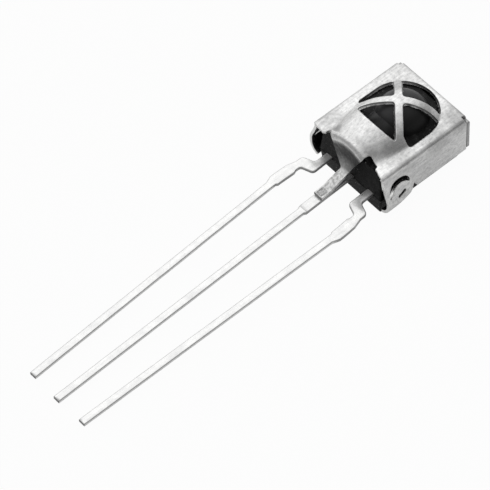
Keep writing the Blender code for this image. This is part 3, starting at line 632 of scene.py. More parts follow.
    def ear_dish(self, y: float, z: float) -> float:
        """How far an ear is dished inwards round its slot.

        Args:
            y: Distance from the lead end of the case.
            z: Height above the moulded back.

        Returns:
            The distance inwards.
        """
        run = (self.slot_length - self.slot_width) / 2
        cosine, sine = math.cos(self.slot_tilt), math.sin(self.slot_tilt)
        off_y, off_z = y - self.slot_y, z - self.slot_height
        along = off_y * cosine + off_z * sine
        up = off_z * cosine - off_y * sine
        distance = math.hypot(max(abs(along) - run, 0.0), up)
        return self.dish_depth * ease((self.dish_reach - distance) / self.dish_fade)

    def strap_path(self) -> list[Point]:
        """The strap's outer face from the hood's lip to its end, as (y, z) points.

        Returns:
            The path, with its bends rounded.
        """
        lead = MiddleLead()
        start = -self.strap_reach + self.seat_length
        seat = lead.top_at(-self.strap_reach) + self.sheet + self.strap_gap
        seat_top = lead.top_at(start) + self.sheet + self.strap_gap
        lip = self.front + self.hood_rise
        corners = [
            (self.relief_depth, lip),
            (0.0, lip),
            (-self.strap_lean, self.knee_height),
            (start, seat_top),
            (-self.strap_reach, seat),
        ]
        return rounded_path(corners, self.strap_bend, 10)

    def along_path(self, distance: float) -> Point:
        """The point at a distance along the strap's path.

        Args:
            distance: Distance from the path's start.

        Returns:
            The point, as (y, z).
        """
        for start, end in zip(self.path, self.path[1:]):
            step = math.dist(start, end)
            if distance <= step:
                share = distance / step
                return (start[0] + (end[0] - start[0]) * share, start[1] + (end[1] - start[1]) * share)
            distance -= step
        return self.path[-1]

    def strap_root(self, side: Side) -> float:
        """Half the strap's width at its root on one side."""
        return self.strap_right if side is Side.RIGHT else self.strap_left

    def strap_point(self, s: float, distance: float, side: Side) -> Place:
        """A point of the strap, whose arched root flattens on its way down.

        Args:
            s: Distance from the middle on the flat sheet.
            distance: Distance from the strap's start.
            side: The half of the case.

        Returns:
            The point.
        """
        root = self.strap_root(side)
        fall = self.front + self.hood_rise - self.knee_height
        share = min(max((distance - self.relief_depth) / fall, 0.0), 1.0)
        half = root + (self.strap_width / 2 - root) * share
        y, z = self.along_path(distance)
        arch = self.drawn_height(s, 0.0) - self.drawn_height(0.0, 0.0)
        z += arch * (1.0 - ease(distance / (2 * root)))
        return (s * half / root, y, z - self.weld_dent(s * half / root, self.path_length - distance))

    def weld_dent(self, x: float, from_end: float) -> float:
        """How deep the spot weld's square print is at a point of the strap's seat.

        Args:
            x: Distance from the middle.
            from_end: Distance from the strap's cut end.

        Returns:
            The depth of the print.
        """
        middle = self.seat_length * self.weld_place
        across = ease((self.weld_half_width - abs(x)) / self.weld_fade)
        along = ease((self.weld_half_length - abs(from_end - middle)) / self.weld_fade)
        dimples = 0.5 + 0.5 * wobble(Vector((x, from_end, 0.0)), 0.11, 4.0)
        return self.weld_depth * across * along * (0.6 + 0.8 * dimples)

    def wall_point(self, s: float, y: float) -> Place:
        """A point on the bend or wall beside the front face, for the length s from its edge.

        Args:
            s: Length from the front face's edge on the flat sheet.
            y: Distance from the lead end of the case.

        Returns:
            The point.
        """
        if s <= self.bend_arc:
            angle = s / self.bend
            z = self.front - self.bend * (1 - math.cos(angle))
            return (self.face_half + self.bend * math.sin(angle) + self.bow(y, z), y, z)
        z = self.front - self.bend - (s - self.bend_arc)
        if z >= self.curl_height or y > self.ear_end + self.bow_fade:
            return (self.width / 2 + self.bow(y, z) - self.ear_dish(y, z), y, z)
        length = self.curl_height - z
        angle = min(length / self.curl_radius, self.curl_angle)
        share = ease((self.ear_end + self.bow_fade / 2 - y) / self.bow_fade)
        curl_x = self.curl_radius * (math.cos(angle) - 1) * share
        curl_z = self.curl_radius * math.sin(angle) * share
        x = self.width / 2 + self.bow(y, self.curl_height) + curl_x - self.ear_dish(y, z)
        return (x, y, self.curl_height - (curl_z + length * (1 - share)))

    def far_point(self, s: float, length: float) -> Place:
        """A point on the bend or flap past the far end of the front face.

        Args:
            s: Distance from the middle on the flat sheet.
            length: Length past the start of the far bend.

        Returns:
            The point.
        """
        if s > self.face_half:
            s = self.face_half + (s - self.face_half) * self.bend / self.bend_arc
        if length <= self.bend_arc:
            angle = length / self.bend
            y = self.far_bend + self.bend * math.sin(angle)
            return (s, y, self.front - self.bend * (1 - math.cos(angle)))
        return (s, self.length, self.front - self.bend - (length - self.bend_arc))

    def formed_point(self, s: float, t: float, side: Side) -> Place:
        """Where a point of the flat blank ends up in the folded case, on the right half.

        Args:
            s: Distance from the middle on the flat sheet.
            t: Distance along the flat sheet, from the lead end.
            side: The half of the case.

        Returns:
            The point.
        """
        if t < self.relief_depth and s < self.strap_root(side) + 0.06:
            return self.strap_point(s, self.relief_depth - t, side)
        if t > self.far_bend + self.bend_arc or (t > self.far_bend and s <= self.face_half):
            return self.far_point(s, t - self.far_bend)
        if t > self.far_bend:
            t = self.far_bend + (t - self.far_bend) * (self.wall_end_y - self.far_bend) / self.bend_arc
        if s > self.face_half:
            return self.wall_point(s - self.face_half, t)
        past_lip = ease((t - self.relief_depth) / self.lip_blend)
        level = max(t - self.relief_depth * (1.0 - past_lip), 0.0)
        return (s, t, self.front + self.drawn_height(s, level))

    # Outlines on the flat sheet

    def half_outline(self, side: Side) -> list[Corner]:
        """The blank's outline on one side, from the strap's end round to the flap's edge.

        Args:
            side: The half of the case.

        Returns:
            The corners in order.
        """
        root = self.strap_root(side)
        relief = self.relief_right if side is Side.RIGHT else self.relief_left
        corners: list[Corner] = [(root, self.strap_end, 0.05), (root, -0.10, 0)]
        corners += self.relief_corners(root, relief, side)
        corners += self.front_corner(root + relief, side)
        corners += [
            (self.face_half + self.bend_arc * 0.55, -0.07, 0.10),
            (self.wall_start + 0.12, 0.0, 0.10),
            (self.wall_foot - self.curl_height + self.curl_radius * self.curl_angle, 0.0, 0.10),
        ]
        foot = corners[-1][0]
        notch = self.ear_end + self.notch_slope / 2
        notch_s = self.wall_foot - self.notch_top
        bottom = self.wall_foot - self.wall_bottom
        wall_end = self.far_bend + self.bend_arc
        shoulder = wall_end + self.shoulder_drop
        corners += [
            (foot, self.ear_end - self.corner_cut, 0.14),
            (bottom + self.corner_cut / 2, self.ear_end, 0.12),
            (notch_s + self.notch_slope, self.ear_end, 0.08),
            (notch_s, notch, 0.05),
            (bottom, notch + self.notch_slope, 0.06),
            (bottom, wall_end, 0.10),
            (self.wall_start, wall_end, 0.10),
            (self.wall_start - 0.02, self.far_bend, 0.06),
            (self.face_half - 0.06, self.far_bend - 0.06, 0.07),
            (self.face_half, shoulder, 0.05),
            (self.wall_start, shoulder, 0.12),
            (self.wall_start, self.flap_end, 0.10),
        ]
        return corners

    def relief_corners(self, root: float, relief: float, side: Side) -> list[Corner]:
        """The relief cut beside the strap's root: round on the right, a short nick on the left.

        Args:
            root: Half the strap's width at its root.
            relief: Width of the cut.
            side: The half of the case.

        Returns:
            The corners in order.
        """
        if side is Side.RIGHT:
            top = self.relief_depth + self.relief_rise
            return [
                (root, self.relief_depth, 0.08),
                (root + 0.14, top + 0.05, 0.20),
                (root + relief - 0.03, top - 0.03, 0.20),
                (root + relief, self.relief_depth, 0.04),
            ]
        return [
            (root, 0.12, 0.04),
            (root + relief * 0.7, self.relief_depth, 0.04),
            (root + relief, 0.06, 0.05),
        ]

    def front_corner(self, start: float, side: Side) -> list[Corner]:
        """The sheet's edge from the relief to the bend: swept back on the right, a tab on the left.

        Args:
            start: Where the relief ends.
            side: The half of the case.

        Returns:
            The corners in order.
        """
        if side is Side.RIGHT:
            return [
                (start + 0.16, 0.20, 0.08),
                (self.face_half - 0.34, 0.11, 0.12),
                (self.face_half, -0.02, 0.12),
            ]
        reach = self.corner_reach
        return [
            (start + 0.02, -reach * 0.55, 0.07),
            (start + 0.22, -reach, 0.10),
            (self.face_half - 0.10, -reach * 0.90, 0.12),
        ]

    def outline(self) -> list[Point]:
        """The whole blank's outline.

        Returns:
            The outline's points.
        """
        right = self.half_outline(Side.RIGHT)
        left = [(-s, t, radius) for s, t, radius in reversed(self.half_outline(Side.LEFT))]
        return rounded_loop(right + left)

    def arm_corner(self, edge: int) -> Point:
        """Where an edge of the right far arm meets the window's arc.

        Args:
            edge: 1 for the arm's far edge and -1 for its near one.

        Returns:
            The corner.
        """
        start = self.cross_y - self.window_y + edge * self.arm_width / 2 / math.cos(self.cross_angle)
        along = start * math.sin(self.cross_angle)
        reach = math.sqrt(along**2 + self.window_half**2 - start**2) - along
        rise = reach * math.sin(self.cross_angle)
        return (reach * math.cos(self.cross_angle), self.window_y + start + rise)

    def side_pane(self, side: Side) -> list[Point]:
        """The pane beside the cross on one side.

        Args:
            side: The half of the case.

        Returns:
            The pane's outline.
        """
        inner = self.arm_width / 2 / math.sin(self.cross_angle)
        foot = (self.cross_y - self.side_foot_y) / math.tan(self.cross_angle) + inner
        far_x, far_y = self.arm_corner(-1)
        end = math.atan2(far_y - self.window_y, far_x)
        centre, radii = (0.0, self.window_y), (self.window_half,) * 2
        window = ellipse_arc(centre, radii, 0.0, end, self.arc_steps)
        corners = [
            (inner, self.cross_y, self.inner_radius),
            (foot, self.side_foot_y, self.outer_radius),
            (self.window_half, self.side_foot_y, self.foot_radius),
            *((x, y, 0) for x, y in away_from(window, (far_x, far_y), 2 * self.outer_radius)),
            (far_x, far_y, self.outer_radius),
        ]
        return [(side.value * x, y) for x, y in rounded_loop(corners)]

    def far_pane(self) -> list[Point]:
        """The pane at the window's far end.

        Returns:
            The pane's outline.
        """
        inner = self.arm_width / 2 / math.cos(self.cross_angle)
        far_x, far_y = self.arm_corner(1)
        start = math.atan2(far_y - self.window_y, far_x)
        centre, radii = (0.0, self.window_y), (self.window_half,) * 2
        window = ellipse_arc(centre, radii, start, math.pi - start, 28)
        clear = away_from(window, (far_x, far_y), 2 * self.outer_radius)
        clear = away_from(clear, (-far_x, far_y), 2 * self.outer_radius)
        corners = [
            (0.0, self.cross_y + inner, self.inner_radius),
            (far_x, far_y, self.outer_radius),
            *((x, y, 0) for x, y in clear),
            (-far_x, far_y, self.outer_radius),
        ]
        return rounded_loop(corners)

    def lead_pane(self) -> list[Point]:
        """The pane on the lead side, whose long edge is bowed.

        Returns:
            The pane's outline.
        """
        top = self.cross_y - self.arm_width / 2 / math.cos(self.cross_angle)
        fall = self.lead_edge_radius * math.tan(self.cross_angle)
        half = math.sqrt(fall**2 + 2 * self.lead_edge_radius * (top - self.lead_edge_y)) - fall
        corners = [(0.0, top, self.inner_radius)]
        steps = self.arc_steps
        for step in (0, *range(4, steps - 3), steps):
            x = half * (2 * step / steps - 1)
            y = self.lead_edge_y + x * x / (2 * self.lead_edge_radius)
            corners.append((x, y, 0 if 0 < step < steps else self.tip_radius))
        return rounded_loop(corners)

    def arch(self) -> list[Point]:
        """The crescent slit between an ear and its wall, as (y, z) points.

        Returns:
            The slit's outline.
        """
        radius = (self.arch_half**2 + self.arch_outer**2) / (2 * self.arch_outer)
        centre = (self.arch_y, self.arch_foot + self.arch_outer - radius)
        drop = self.arch_foot - centre[1]
        start = math.atan2(drop, -self.arch_half) % math.tau
        end = math.atan2(drop, self.arch_half)
        outer = ellipse_arc(centre, (radius, radius), start, end, 30)
        inner = []
        for step in range(1, self.arc_steps):
            share = 1.0 - step / self.arc_steps
            y = self.arch_y + self.arch_half * (2 * share - 1)
            inner.append((y, self.arch_foot + 4.0 * self.arch_inner * share * (1.0 - share)))
        return outer + inner

    def slot(self) -> list[Point]:
        """The short slot through an ear, as (y, z) points.

        Returns:
            The slot's outline.
        """
        run = (self.slot_length - self.slot_width) / 2
        half = self.slot_width / 2
        turn = self.slot_tilt
        step = (run * math.cos(turn), run * math.sin(turn))
        ends = [(self.slot_y + k * step[0], self.slot_height + k * step[1]) for k in (1, -1)]
        quarter = math.pi / 2
        far = ellipse_arc(ends[0], (half, half), turn - quarter, turn + quarter, 8)
        return far + ellipse_arc(ends[1], (half, half), turn + quarter, turn + 3 * quarter, 8)

    def cuts(self) -> list[list[Point]]:
        """Every cut inside the blank's outline.

        Returns:
            The outline of each cut.
        """
        right, left = self.side_pane(Side.RIGHT), self.side_pane(Side.LEFT)
        cuts = [right, self.far_pane(), left, self.lead_pane()]
        for side in (Side.RIGHT, Side.LEFT):
            for outline in (self.arch(), self.slot()):
                cuts.append([(side.value * (self.wall_foot - z), y) for y, z in outline])
        return cuts

    def columns(self) -> list[float]:
        """Lines that carry points across the blank.

        Returns:
            The lines' distances from the middle.
        """
        lines = [0.0] + steps_between(0.0, self.face_half, self.grain)
        lines += steps_between(self.face_half, self.wall_start, self.grain * self.bend_grain)
        lines += steps_between(self.wall_start, self.wall_foot, self.grain * self.wall_grain)
        return [-line for line in lines[:0:-1]] + lines

    def rows(self) -> list[float]:
        """Lines that carry points along the blank.

        Returns:
            The lines' distances from the lead end.
        """
        flap_start = self.far_bend + self.bend_arc
        lines = [self.strap_end]
        lines += steps_between(self.strap_end, self.relief_depth, self.grain * self.strap_grain)
        lines += steps_between(self.relief_depth, self.far_bend, self.grain)
        lines += steps_between(self.far_bend, flap_start, self.grain * self.bend_grain)
        return lines + steps_between(flap_start, self.flap_end, self.grain * self.wall_grain)

    def handled(self, place: Vector) -> Vector:
        """A pressed point with the small unevenness that cutting and handling leave.

        Args:
            place: The point as pressed.

        Returns:
            The point as it ends up, inside the module's box.
        """
        near_leads = ease((1.2 - place.y) / 1.4) * ease((place.z - 2.6) / 1.2)
        ragged = self.raggedness + self.lead_end_raggedness * near_leads
        lift = wobble(place, 1.6, 1.0) * self.face_lift
        shove = [wobble(place, 0.24, seed) * ragged for seed in (7.0, 11.0, 17.0)]
        x = min(place.x + shove[0], self.widest)
        y = min(place.y + shove[1], self.length)
        return Vector((max(x, -self.widest), y, min(place.z + shove[2] * 0.6 + lift, self.highest)))

    def roll_rims(self, shape: bmesh.types.BMesh) -> None:
        """Adds two narrow rows of faces along each cut edge and notes how far they roll over, and the
        painted shade or painted highlight of each cut edge.

        Args:
            shape: The shape, which is changed in place.
        """
        roll_and_light = shape.verts.layers.float.new(ROLL_AND_EDGE_LIGHT)
        for vertex in shape.verts:
            # A cut edge's mark sets both its roll and its painted shade or painted highlight
            vertex[roll_and_light] = self.painted_edge_light(vertex.co.x, vertex.co.y) if vertex.is_boundary else 0.0
        inner = list(shape.faces)
        for reach, left in self.rim_steps:
            width = reach * self.edge_rounding
            rows = bmesh.ops.inset_region(
                shape, faces=inner, thickness=width, use_boundary=True, use_even_offset=False
            )["faces"]
            row_points = {vertex for face in rows for vertex in face.verts}
            inner_points = {vertex for face in inner for vertex in face.verts}
            for vertex in row_points & inner_points:
                vertex[roll_and_light] = left

    def painted_edge_light(self, s: float, t: float) -> float:
        """The painted light on a cut edge: above 0.6 the edge gets painted shade, and below that a painted
        highlight.

        Args:
            s: Distance from the middle on the flat sheet.
            t: Distance along the flat sheet, from the lead end.

        Returns:
            The mark.
        """
        if self.in_window(s, t):
            return self.window_edge_shade
        return self.lead_end_edge_highlight if t < self.ear_end else self.plain_edge_shade

    def press(self, shape: bmesh.types.BMesh) -> None:
        """Presses the flat blank into shape and notes where both of its faces lie.

        Args:
            shape: The shape, which is changed in place.
        """
        layers = shape.verts.layers
        stain_and_shade, shift = layers.float.new(STAIN_AND_SHADE), layers.float_vector.new(BURR)
        over, under = layers.float_vector.new(OVER), layers.float_vector.new(UNDER)
        roll_and_light = layers.float[ROLL_AND_EDGE_LIGHT]
        flat = {vertex: vertex.co.copy() for vertex in shape.verts}
        for vertex, (s, t, _) in flat.items():
            side = Side.LEFT if s < 0 else Side.RIGHT
            x, y, z = self.formed_point(abs(s), t, side)
            vertex.co = self.handled(Vector((side.value * x, y, z)))
            vertex[stain_and_shade] = self.stain_and_shade(s, t, vertex.co)
        shape.normal_update()
        for vertex, (s, t, _) in flat.items():
            drop = vertex[roll_and_light] * self.edge_rounding
            vertex[shift] = self.burr(vertex, s, t)
            vertex[over] = vertex.co - vertex.normal * drop
            vertex[under] = vertex.co - vertex.normal * (self.sheet - drop) + vertex[shift]

    def in_window(self, s: float, t: float) -> bool:
        """Whether a point of the blank lies where the window's panes are."""
        return abs(s) < self.window_half + 0.1 and self.pane_start < t < self.far_bend - 0.01

    def burr(self, vertex: bmesh.types.BMVert, s: float, t: float) -> Vector:
        """How far the punch has drawn a pane's lower rim into the opening.

        Args:
            vertex: A point of the pressed sheet.
            s: Distance from the middle on the flat sheet.
            t: Distance along the flat sheet, from the lead end.

        Returns:
            The shift, which is nothing away from the panes.
        """
        if not vertex.is_boundary or not self.in_window(s, t):
            return Vector()
        inner = [edge.other_vert(vertex).co for edge in vertex.link_edges if not edge.is_boundary]
        away = vertex.co - sum(inner, Vector()) / len(inner)
        away -= vertex.normal * away.dot(vertex.normal)
        return away.normalized() * self.burr_reach * (1.0 + 0.5 * wobble(vertex.co, 0.18, 9.0))

    def thicken(self, shape: bmesh.types.BMesh) -> None:
        """Gives the pressed sheet its thickness and its burrs, and darkens its inner face with painted
        shade and oxide.

        Args:
            shape: The shape, which is changed in place.
        """
        grown = bmesh.ops.extrude_face_region(shape, geom=shape.faces[:])["geom"]
        layers = shape.verts.layers
        over, under, shift = (layers.float_vector[name] for name in (OVER, UNDER, BURR))
        stain_and_shade, roll_and_light = layers.float[STAIN_AND_SHADE], layers.float[ROLL_AND_EDGE_LIGHT]
        top = {part for part in grown if isinstance(part, bmesh.types.BMVert)}
        for vertex in shape.verts:
            vertex.co = vertex[over] if vertex in top else vertex[under]
            # Painted shade and oxide darken the inner face
            if vertex not in top and vertex[roll_and_light] < self.burr_highlight_mark:
                vertex[stain_and_shade] = max(vertex[stain_and_shade], self.inner_shade_and_oxide)
            # The burr's lower rim takes the painted highlight mark
            if vertex not in top and vertex[shift].length > 0.0:
                vertex[roll_and_light] = self.burr_highlight_mark
        bmesh.ops.recalc_face_normals(shape, faces=shape.faces)
        for name in (OVER, UNDER, BURR):
            layers.float_vector.remove(layers.float_vector[name])

    def stain_and_shade(self, s: float, t: float, place: Vector) -> float:
        """How dark the sheet is at a place, from 0 to 1: painted shade along the strap's bends, scorch and
        weld soot near its seat, a painted shadow on its cut end, and grey patches, of which those on the
        hood and the dome are painted shade.

        Args:
            s: Distance from the middle on the flat sheet.
            t: Distance along the flat sheet, from the lead end.
            place: Where the point ends up.

        Returns:
            The darkness.
        """
        root = self.strap_root(Side.RIGHT if s > 0 else Side.LEFT)
        if t < self.relief_depth and abs(s) <= root + 0.01:
            # Painted shade along the strap's bends and apron
            distances, shades = zip(*self.apron_painted_shade)
            shade = float(np.interp(self.relief_depth - t, distances, shades))
            patches = ease(0.5 + wobble(place, 0.16, 3.0))
            scorch = 0.5 * ease((self.scorch_start - t) / 0.8) * patches
            return max(shade, scorch, self.weld_soot_and_end_shade(place.x, t - self.strap_end))
        # Grey patches; those on the hood and the dome are painted shade
        darkest = 0.0
        for x, y, z, radius, strength in self.grey_patches_and_shade:
            away = math.dist(place, (x, y, z)) / radius
            darkest = max(darkest, strength * ease(1.25 - away))
        return darkest

    def weld_soot_and_end_shade(self, x: float, from_end: float) -> float:
        """How dark the spot weld's sooty print is, and the painted shadow on the strap's cut end.

        Args:
            x: Distance from the middle.
            from_end: Distance from the strap's cut end.

        Returns:
            The darkness.
        """
        # Painted shadow on the strap's cut end
        if from_end < 0.02:
            return self.cut_end_painted_shadow
        across = ease((self.soot_half_width - abs(x)) / self.soot_fade)
        along = ease((self.soot_half_length - abs(from_end - self.soot_middle)) / self.soot_fade)
        grain = 0.5 + 0.5 * wobble(Vector((x, from_end, 0.0)), 0.10, 6.0)
        return across * along * (0.15 + 0.70 * grain)

    def build(self, material: bpy.types.Material) -> bpy.types.Object:
        """Makes the pressed case.

        Args:
            material: Its finish.

        Returns:
            The finished piece.
        """
        loops = [even_loop(loop, self.grain) for loop in [self.outline()] + self.cuts()]
        shape = blank_mesh(loops, self.columns(), self.rows())
        self.roll_rims(shape)
        self.press(shape)
        self.thicken(shape)
        piece = mesh_object("pressed_shield", shape)
        place_in_row(piece, self.smooth_angle)
        hand_over(piece, material, ["shield_case"])
        return piece


# Leads


@dataclass
class Lead:
    """What the three leads share: one flat strip of tinned sheet that droops to its tip."""

    length: float = 26.24
    width: float = 0.58
    root_width: float = 0.60
    thickness: float = 0.28
    top: float = 1.75
    tip_top: float = 0.42
    droop_start: float = -0.40
    longest: float = 26.24
    dam_bar: float = -4.25
    edge_rounding: float = 0.075
    rounding_faces: int = 3
    rounding_angle: float = 60.0
    smooth_angle: float = 50.0
    spread: float = 0.0
    spread_start: float = -1.6
    spread_run: float = 2.4
    split_length: float = 0.25
    lean: float = 0.010
    roughness: float = 0.006
    sink: float = 0.004
    tip_soot: float = 0.80
    # Painted shade on the sides near the body, at the dam bar stub and on the rounded rims
    root_painted_shade: float = 0.75
    stub_painted_shade: float = 0.55
    rim_painted_shade: float = 0.42

    def top_at(self, y: float) -> float:
        """Height of the lead's top at a point along it."""
        slope = (self.top - self.tip_top) / (self.longest + self.droop_start)
        return self.top + min(y - self.droop_start, 0.0) * slope

    def spread_at(self, y: float) -> float:
        """How far handling has bent the lead outwards at a point along it.

        Args:
            y: Distance from the lead end of the case.

        Returns:
            The distance outwards.
        """
        rise = ease((self.spread_start - y) / self.spread_run)
        fall = (self.length + y) / (self.length + self.spread_start - self.spread_run)
        return self.spread * min(rise, fall)

    def outline(self) -> list[Point]:
        """The strip's outline seen from above."""
        raise NotImplementedError

    def build(self, name: str, node: str, side: Side, material: bpy.types.Material) -> bpy.types.Object:
        """Makes one lead.

        Args:
            name: The piece's name.
            node: The CAD node it stands for.
            side: The half of the module that it lies on.
            material: Its finish.

        Returns:
            The finished piece.
        """
        shape = bmesh.new()
        face = shape.faces.new([shape.verts.new((x, y, -self.thickness)) for x, y in self.outline()])
        grown = bmesh.ops.extrude_face_region(shape, geom=[face])["geom"]
        top = [part for part in grown if isinstance(part, bmesh.types.BMVert)]
        bmesh.ops.translate(shape, vec=(0.0, 0.0, self.thickness), verts=top)
        bmesh.ops.recalc_face_normals(shape, faces=shape.faces)
        piece = mesh_object(name, shape)
        bevel_edges(piece, self.edge_rounding, self.rounding_faces, self.rounding_angle)
        apply_modifiers(piece)
        self.settle(piece, side)
        place_in_row(piece, self.smooth_angle)
        hand_over(piece, material, [node])
        return piece

    def settle(self, piece: bpy.types.Object, side: Side) -> None:
        """Splits the strip along its length and lets it droop, a little unevenly.

        Args:
            piece: The lead.
            side: The half of the module that it lies on.
        """
        shape = bmesh.new()
        shape.from_mesh(piece.data)
        for y in steps_between(-self.length, 1.0, self.split_length)[:-1]:
            everything = [*shape.verts, *shape.edges, *shape.faces]
            bmesh.ops.bisect_plane(
                shape, geom=everything, dist=CUT_TOLERANCE, plane_co=(0, y, 0), plane_no=(0, 1, 0)
            )
        for vertex in shape.verts:
            place = vertex.co.copy()
            free = ease(-place.y / 2.0)
            lean = wobble(Vector((0.0, place.y, side.value)), 3.0, 2.0) * self.lean * free
            rough = wobble(place, 0.35, 5.0) * self.roughness
            vertex.co.x = side.value * (place.x + lean + rough + self.spread_at(place.y))
            vertex.co.z = place.z + self.top_at(place.y) - free * self.sink + rough
        if side is Side.LEFT:
            bmesh.ops.reverse_faces(shape, faces=shape.faces)
        shape.normal_update()
        stain_and_shade = shape.verts.layers.float.new(STAIN_AND_SHADE)
        for vertex in shape.verts:
            vertex[stain_and_shade] = self.stain_and_shade(vertex.co, vertex.normal)
        shape.to_mesh(piece.data)
        shape.free()

    def stain_and_shade(self, place: Vector, normal: Vector) -> float:
        """How dark a lead is: bare metal at its cut tip, and painted shade on its sides near the body and
        the dam bar stub and on its rounded rims.

        Args:
            place: A point of the lead.
            normal: Which way it faces.

        Returns:
            The darkness, from 0 to 1.
        """
        at_tip = ease((-self.length + 0.25 - place.y) / 0.1)
        tip = self.tip_soot * ease((-normal.y - 0.3) / 0.4) * at_tip
        # Painted shade on the sides near the body and the stub, and on the rounded rims
        sides = 1.0 - ease((abs(normal.z) - 0.2) / 0.5)
        near = self.root_painted_shade * ease((place.y + 3.0) / 1.4)
        before_stub = ease((-2.5 - place.y) / 0.3)
        stub = self.stub_painted_shade * ease((place.y - self.dam_bar + 0.3) / 0.2) * before_stub
        rim = self.rim_painted_shade if 0.2 < abs(normal.z) < 0.97 else 0.0
        return max(tip, sides * max(near, stub), rim)


@dataclass
class MiddleLead(Lead):
    """The straight middle lead with the paddle that carries both chips."""

    ground_width: float = 0.78
    paddle_width: float = 2.50
    paddle_start: float = 1.30
    paddle_end: float = 6.00

    def outline(self) -> list[Point]:
        """The strip's outline, tip first.

        Returns:
            The outline's points.
        """
        half = self.width / 2
        root = self.ground_width / 2
        paddle = self.paddle_width / 2
        corners = [
            (half, -self.length, 0.06),
            (half, self.dam_bar - 0.16, 0.08),
            (root, self.dam_bar, 0.05),
            (root, self.paddle_start, 0.10),
            (paddle, self.paddle_start, 0.10),
            (paddle, self.paddle_end, 0.10),
        ]
        return rounded_loop(corners + [(-x, y, radius) for x, y, radius in reversed(corners)])


@dataclass
class OuterLead(Lead):
    """A lead with its jog, its bond post and its wider stretch down to the dam bar."""

    spread: float = 0.14
    pitch: float = 2.54
    exit_spacing: float = 2.08
    jog_spacing: float = 3.02
    jog_start: float = -1.35
    jog_end: float = -1.69
    jog_depth: float = 0.88
    jog_radius: float = 0.36
    post_width: float = 0.84
    post_start: float = 1.60
    post_end: float = 3.40
    stub_width: float = 0.88
    stub_offset: float = 0.04
    stub_start: float = -2.62
    stub_end: float = -4.06
    outer_ramp: float = 0.70
    inner_ramp: float = 0.20

    def jog_edge(self, x: float, edge: int) -> float:
        """Where one edge of the slanted jog lies at a distance from the middle."""
        slope = (self.jog_end - self.jog_start) / (self.jog_spacing - self.exit_spacing)
        return self.jog_start + (x - self.exit_spacing) * slope + edge * self.jog_depth / 2

    def long_edge(self, edge: int) -> list[Corner]:
        """One long edge from the bond post to the tip.

        Args:
            edge: 1 for the edge away from the middle and -1 for the other.

        Returns:
            The corners in order.
        """
        root = edge * self.root_width / 2
        half = edge * self.width / 2
        stub = edge * self.stub_width / 2 + self.stub_offset
        ramp = self.outer_ramp if edge > 0 else self.inner_ramp
        ramp_start = self.stub_start + ramp
        ramp_end = self.stub_end - ramp * 0.8
        easing = 0.05 + ramp / 6
        first = self.exit_spacing + root
        second = self.jog_spacing + root
        post = self.exit_spacing + edge * self.post_width / 2
        return [
            (post, self.post_end, 0.08),
            (post, self.post_start, 0.08),
            (first, self.post_start, 0.08),
            (first, self.jog_edge(first, edge), self.jog_radius),
            (second, self.jog_edge(second, edge), self.jog_radius),
            (self.middle_at(ramp_start) + root, ramp_start, 0.20),
            (self.middle_at(self.stub_start) + stub, self.stub_start, 0.15),
            (self.middle_at(self.stub_end) + stub, self.stub_end, easing),
            (self.middle_at(ramp_end) + half, ramp_end, easing),
            (self.pitch + half, -self.length, 0.06),
        ]

    def middle_at(self, y: float) -> float:
        """How far the slanting strip's middle lies from the module's middle at a point along it."""
        slope = (self.jog_spacing - self.pitch) / (self.length + self.jog_end)
        return self.jog_spacing + (y - self.jog_end) * slope

    def outline(self) -> list[Point]:
        """The strip's outline: down its inner edge and back up its outer one."""
        return rounded_loop(self.long_edge(-1) + self.long_edge(1)[::-1])


# Moulding


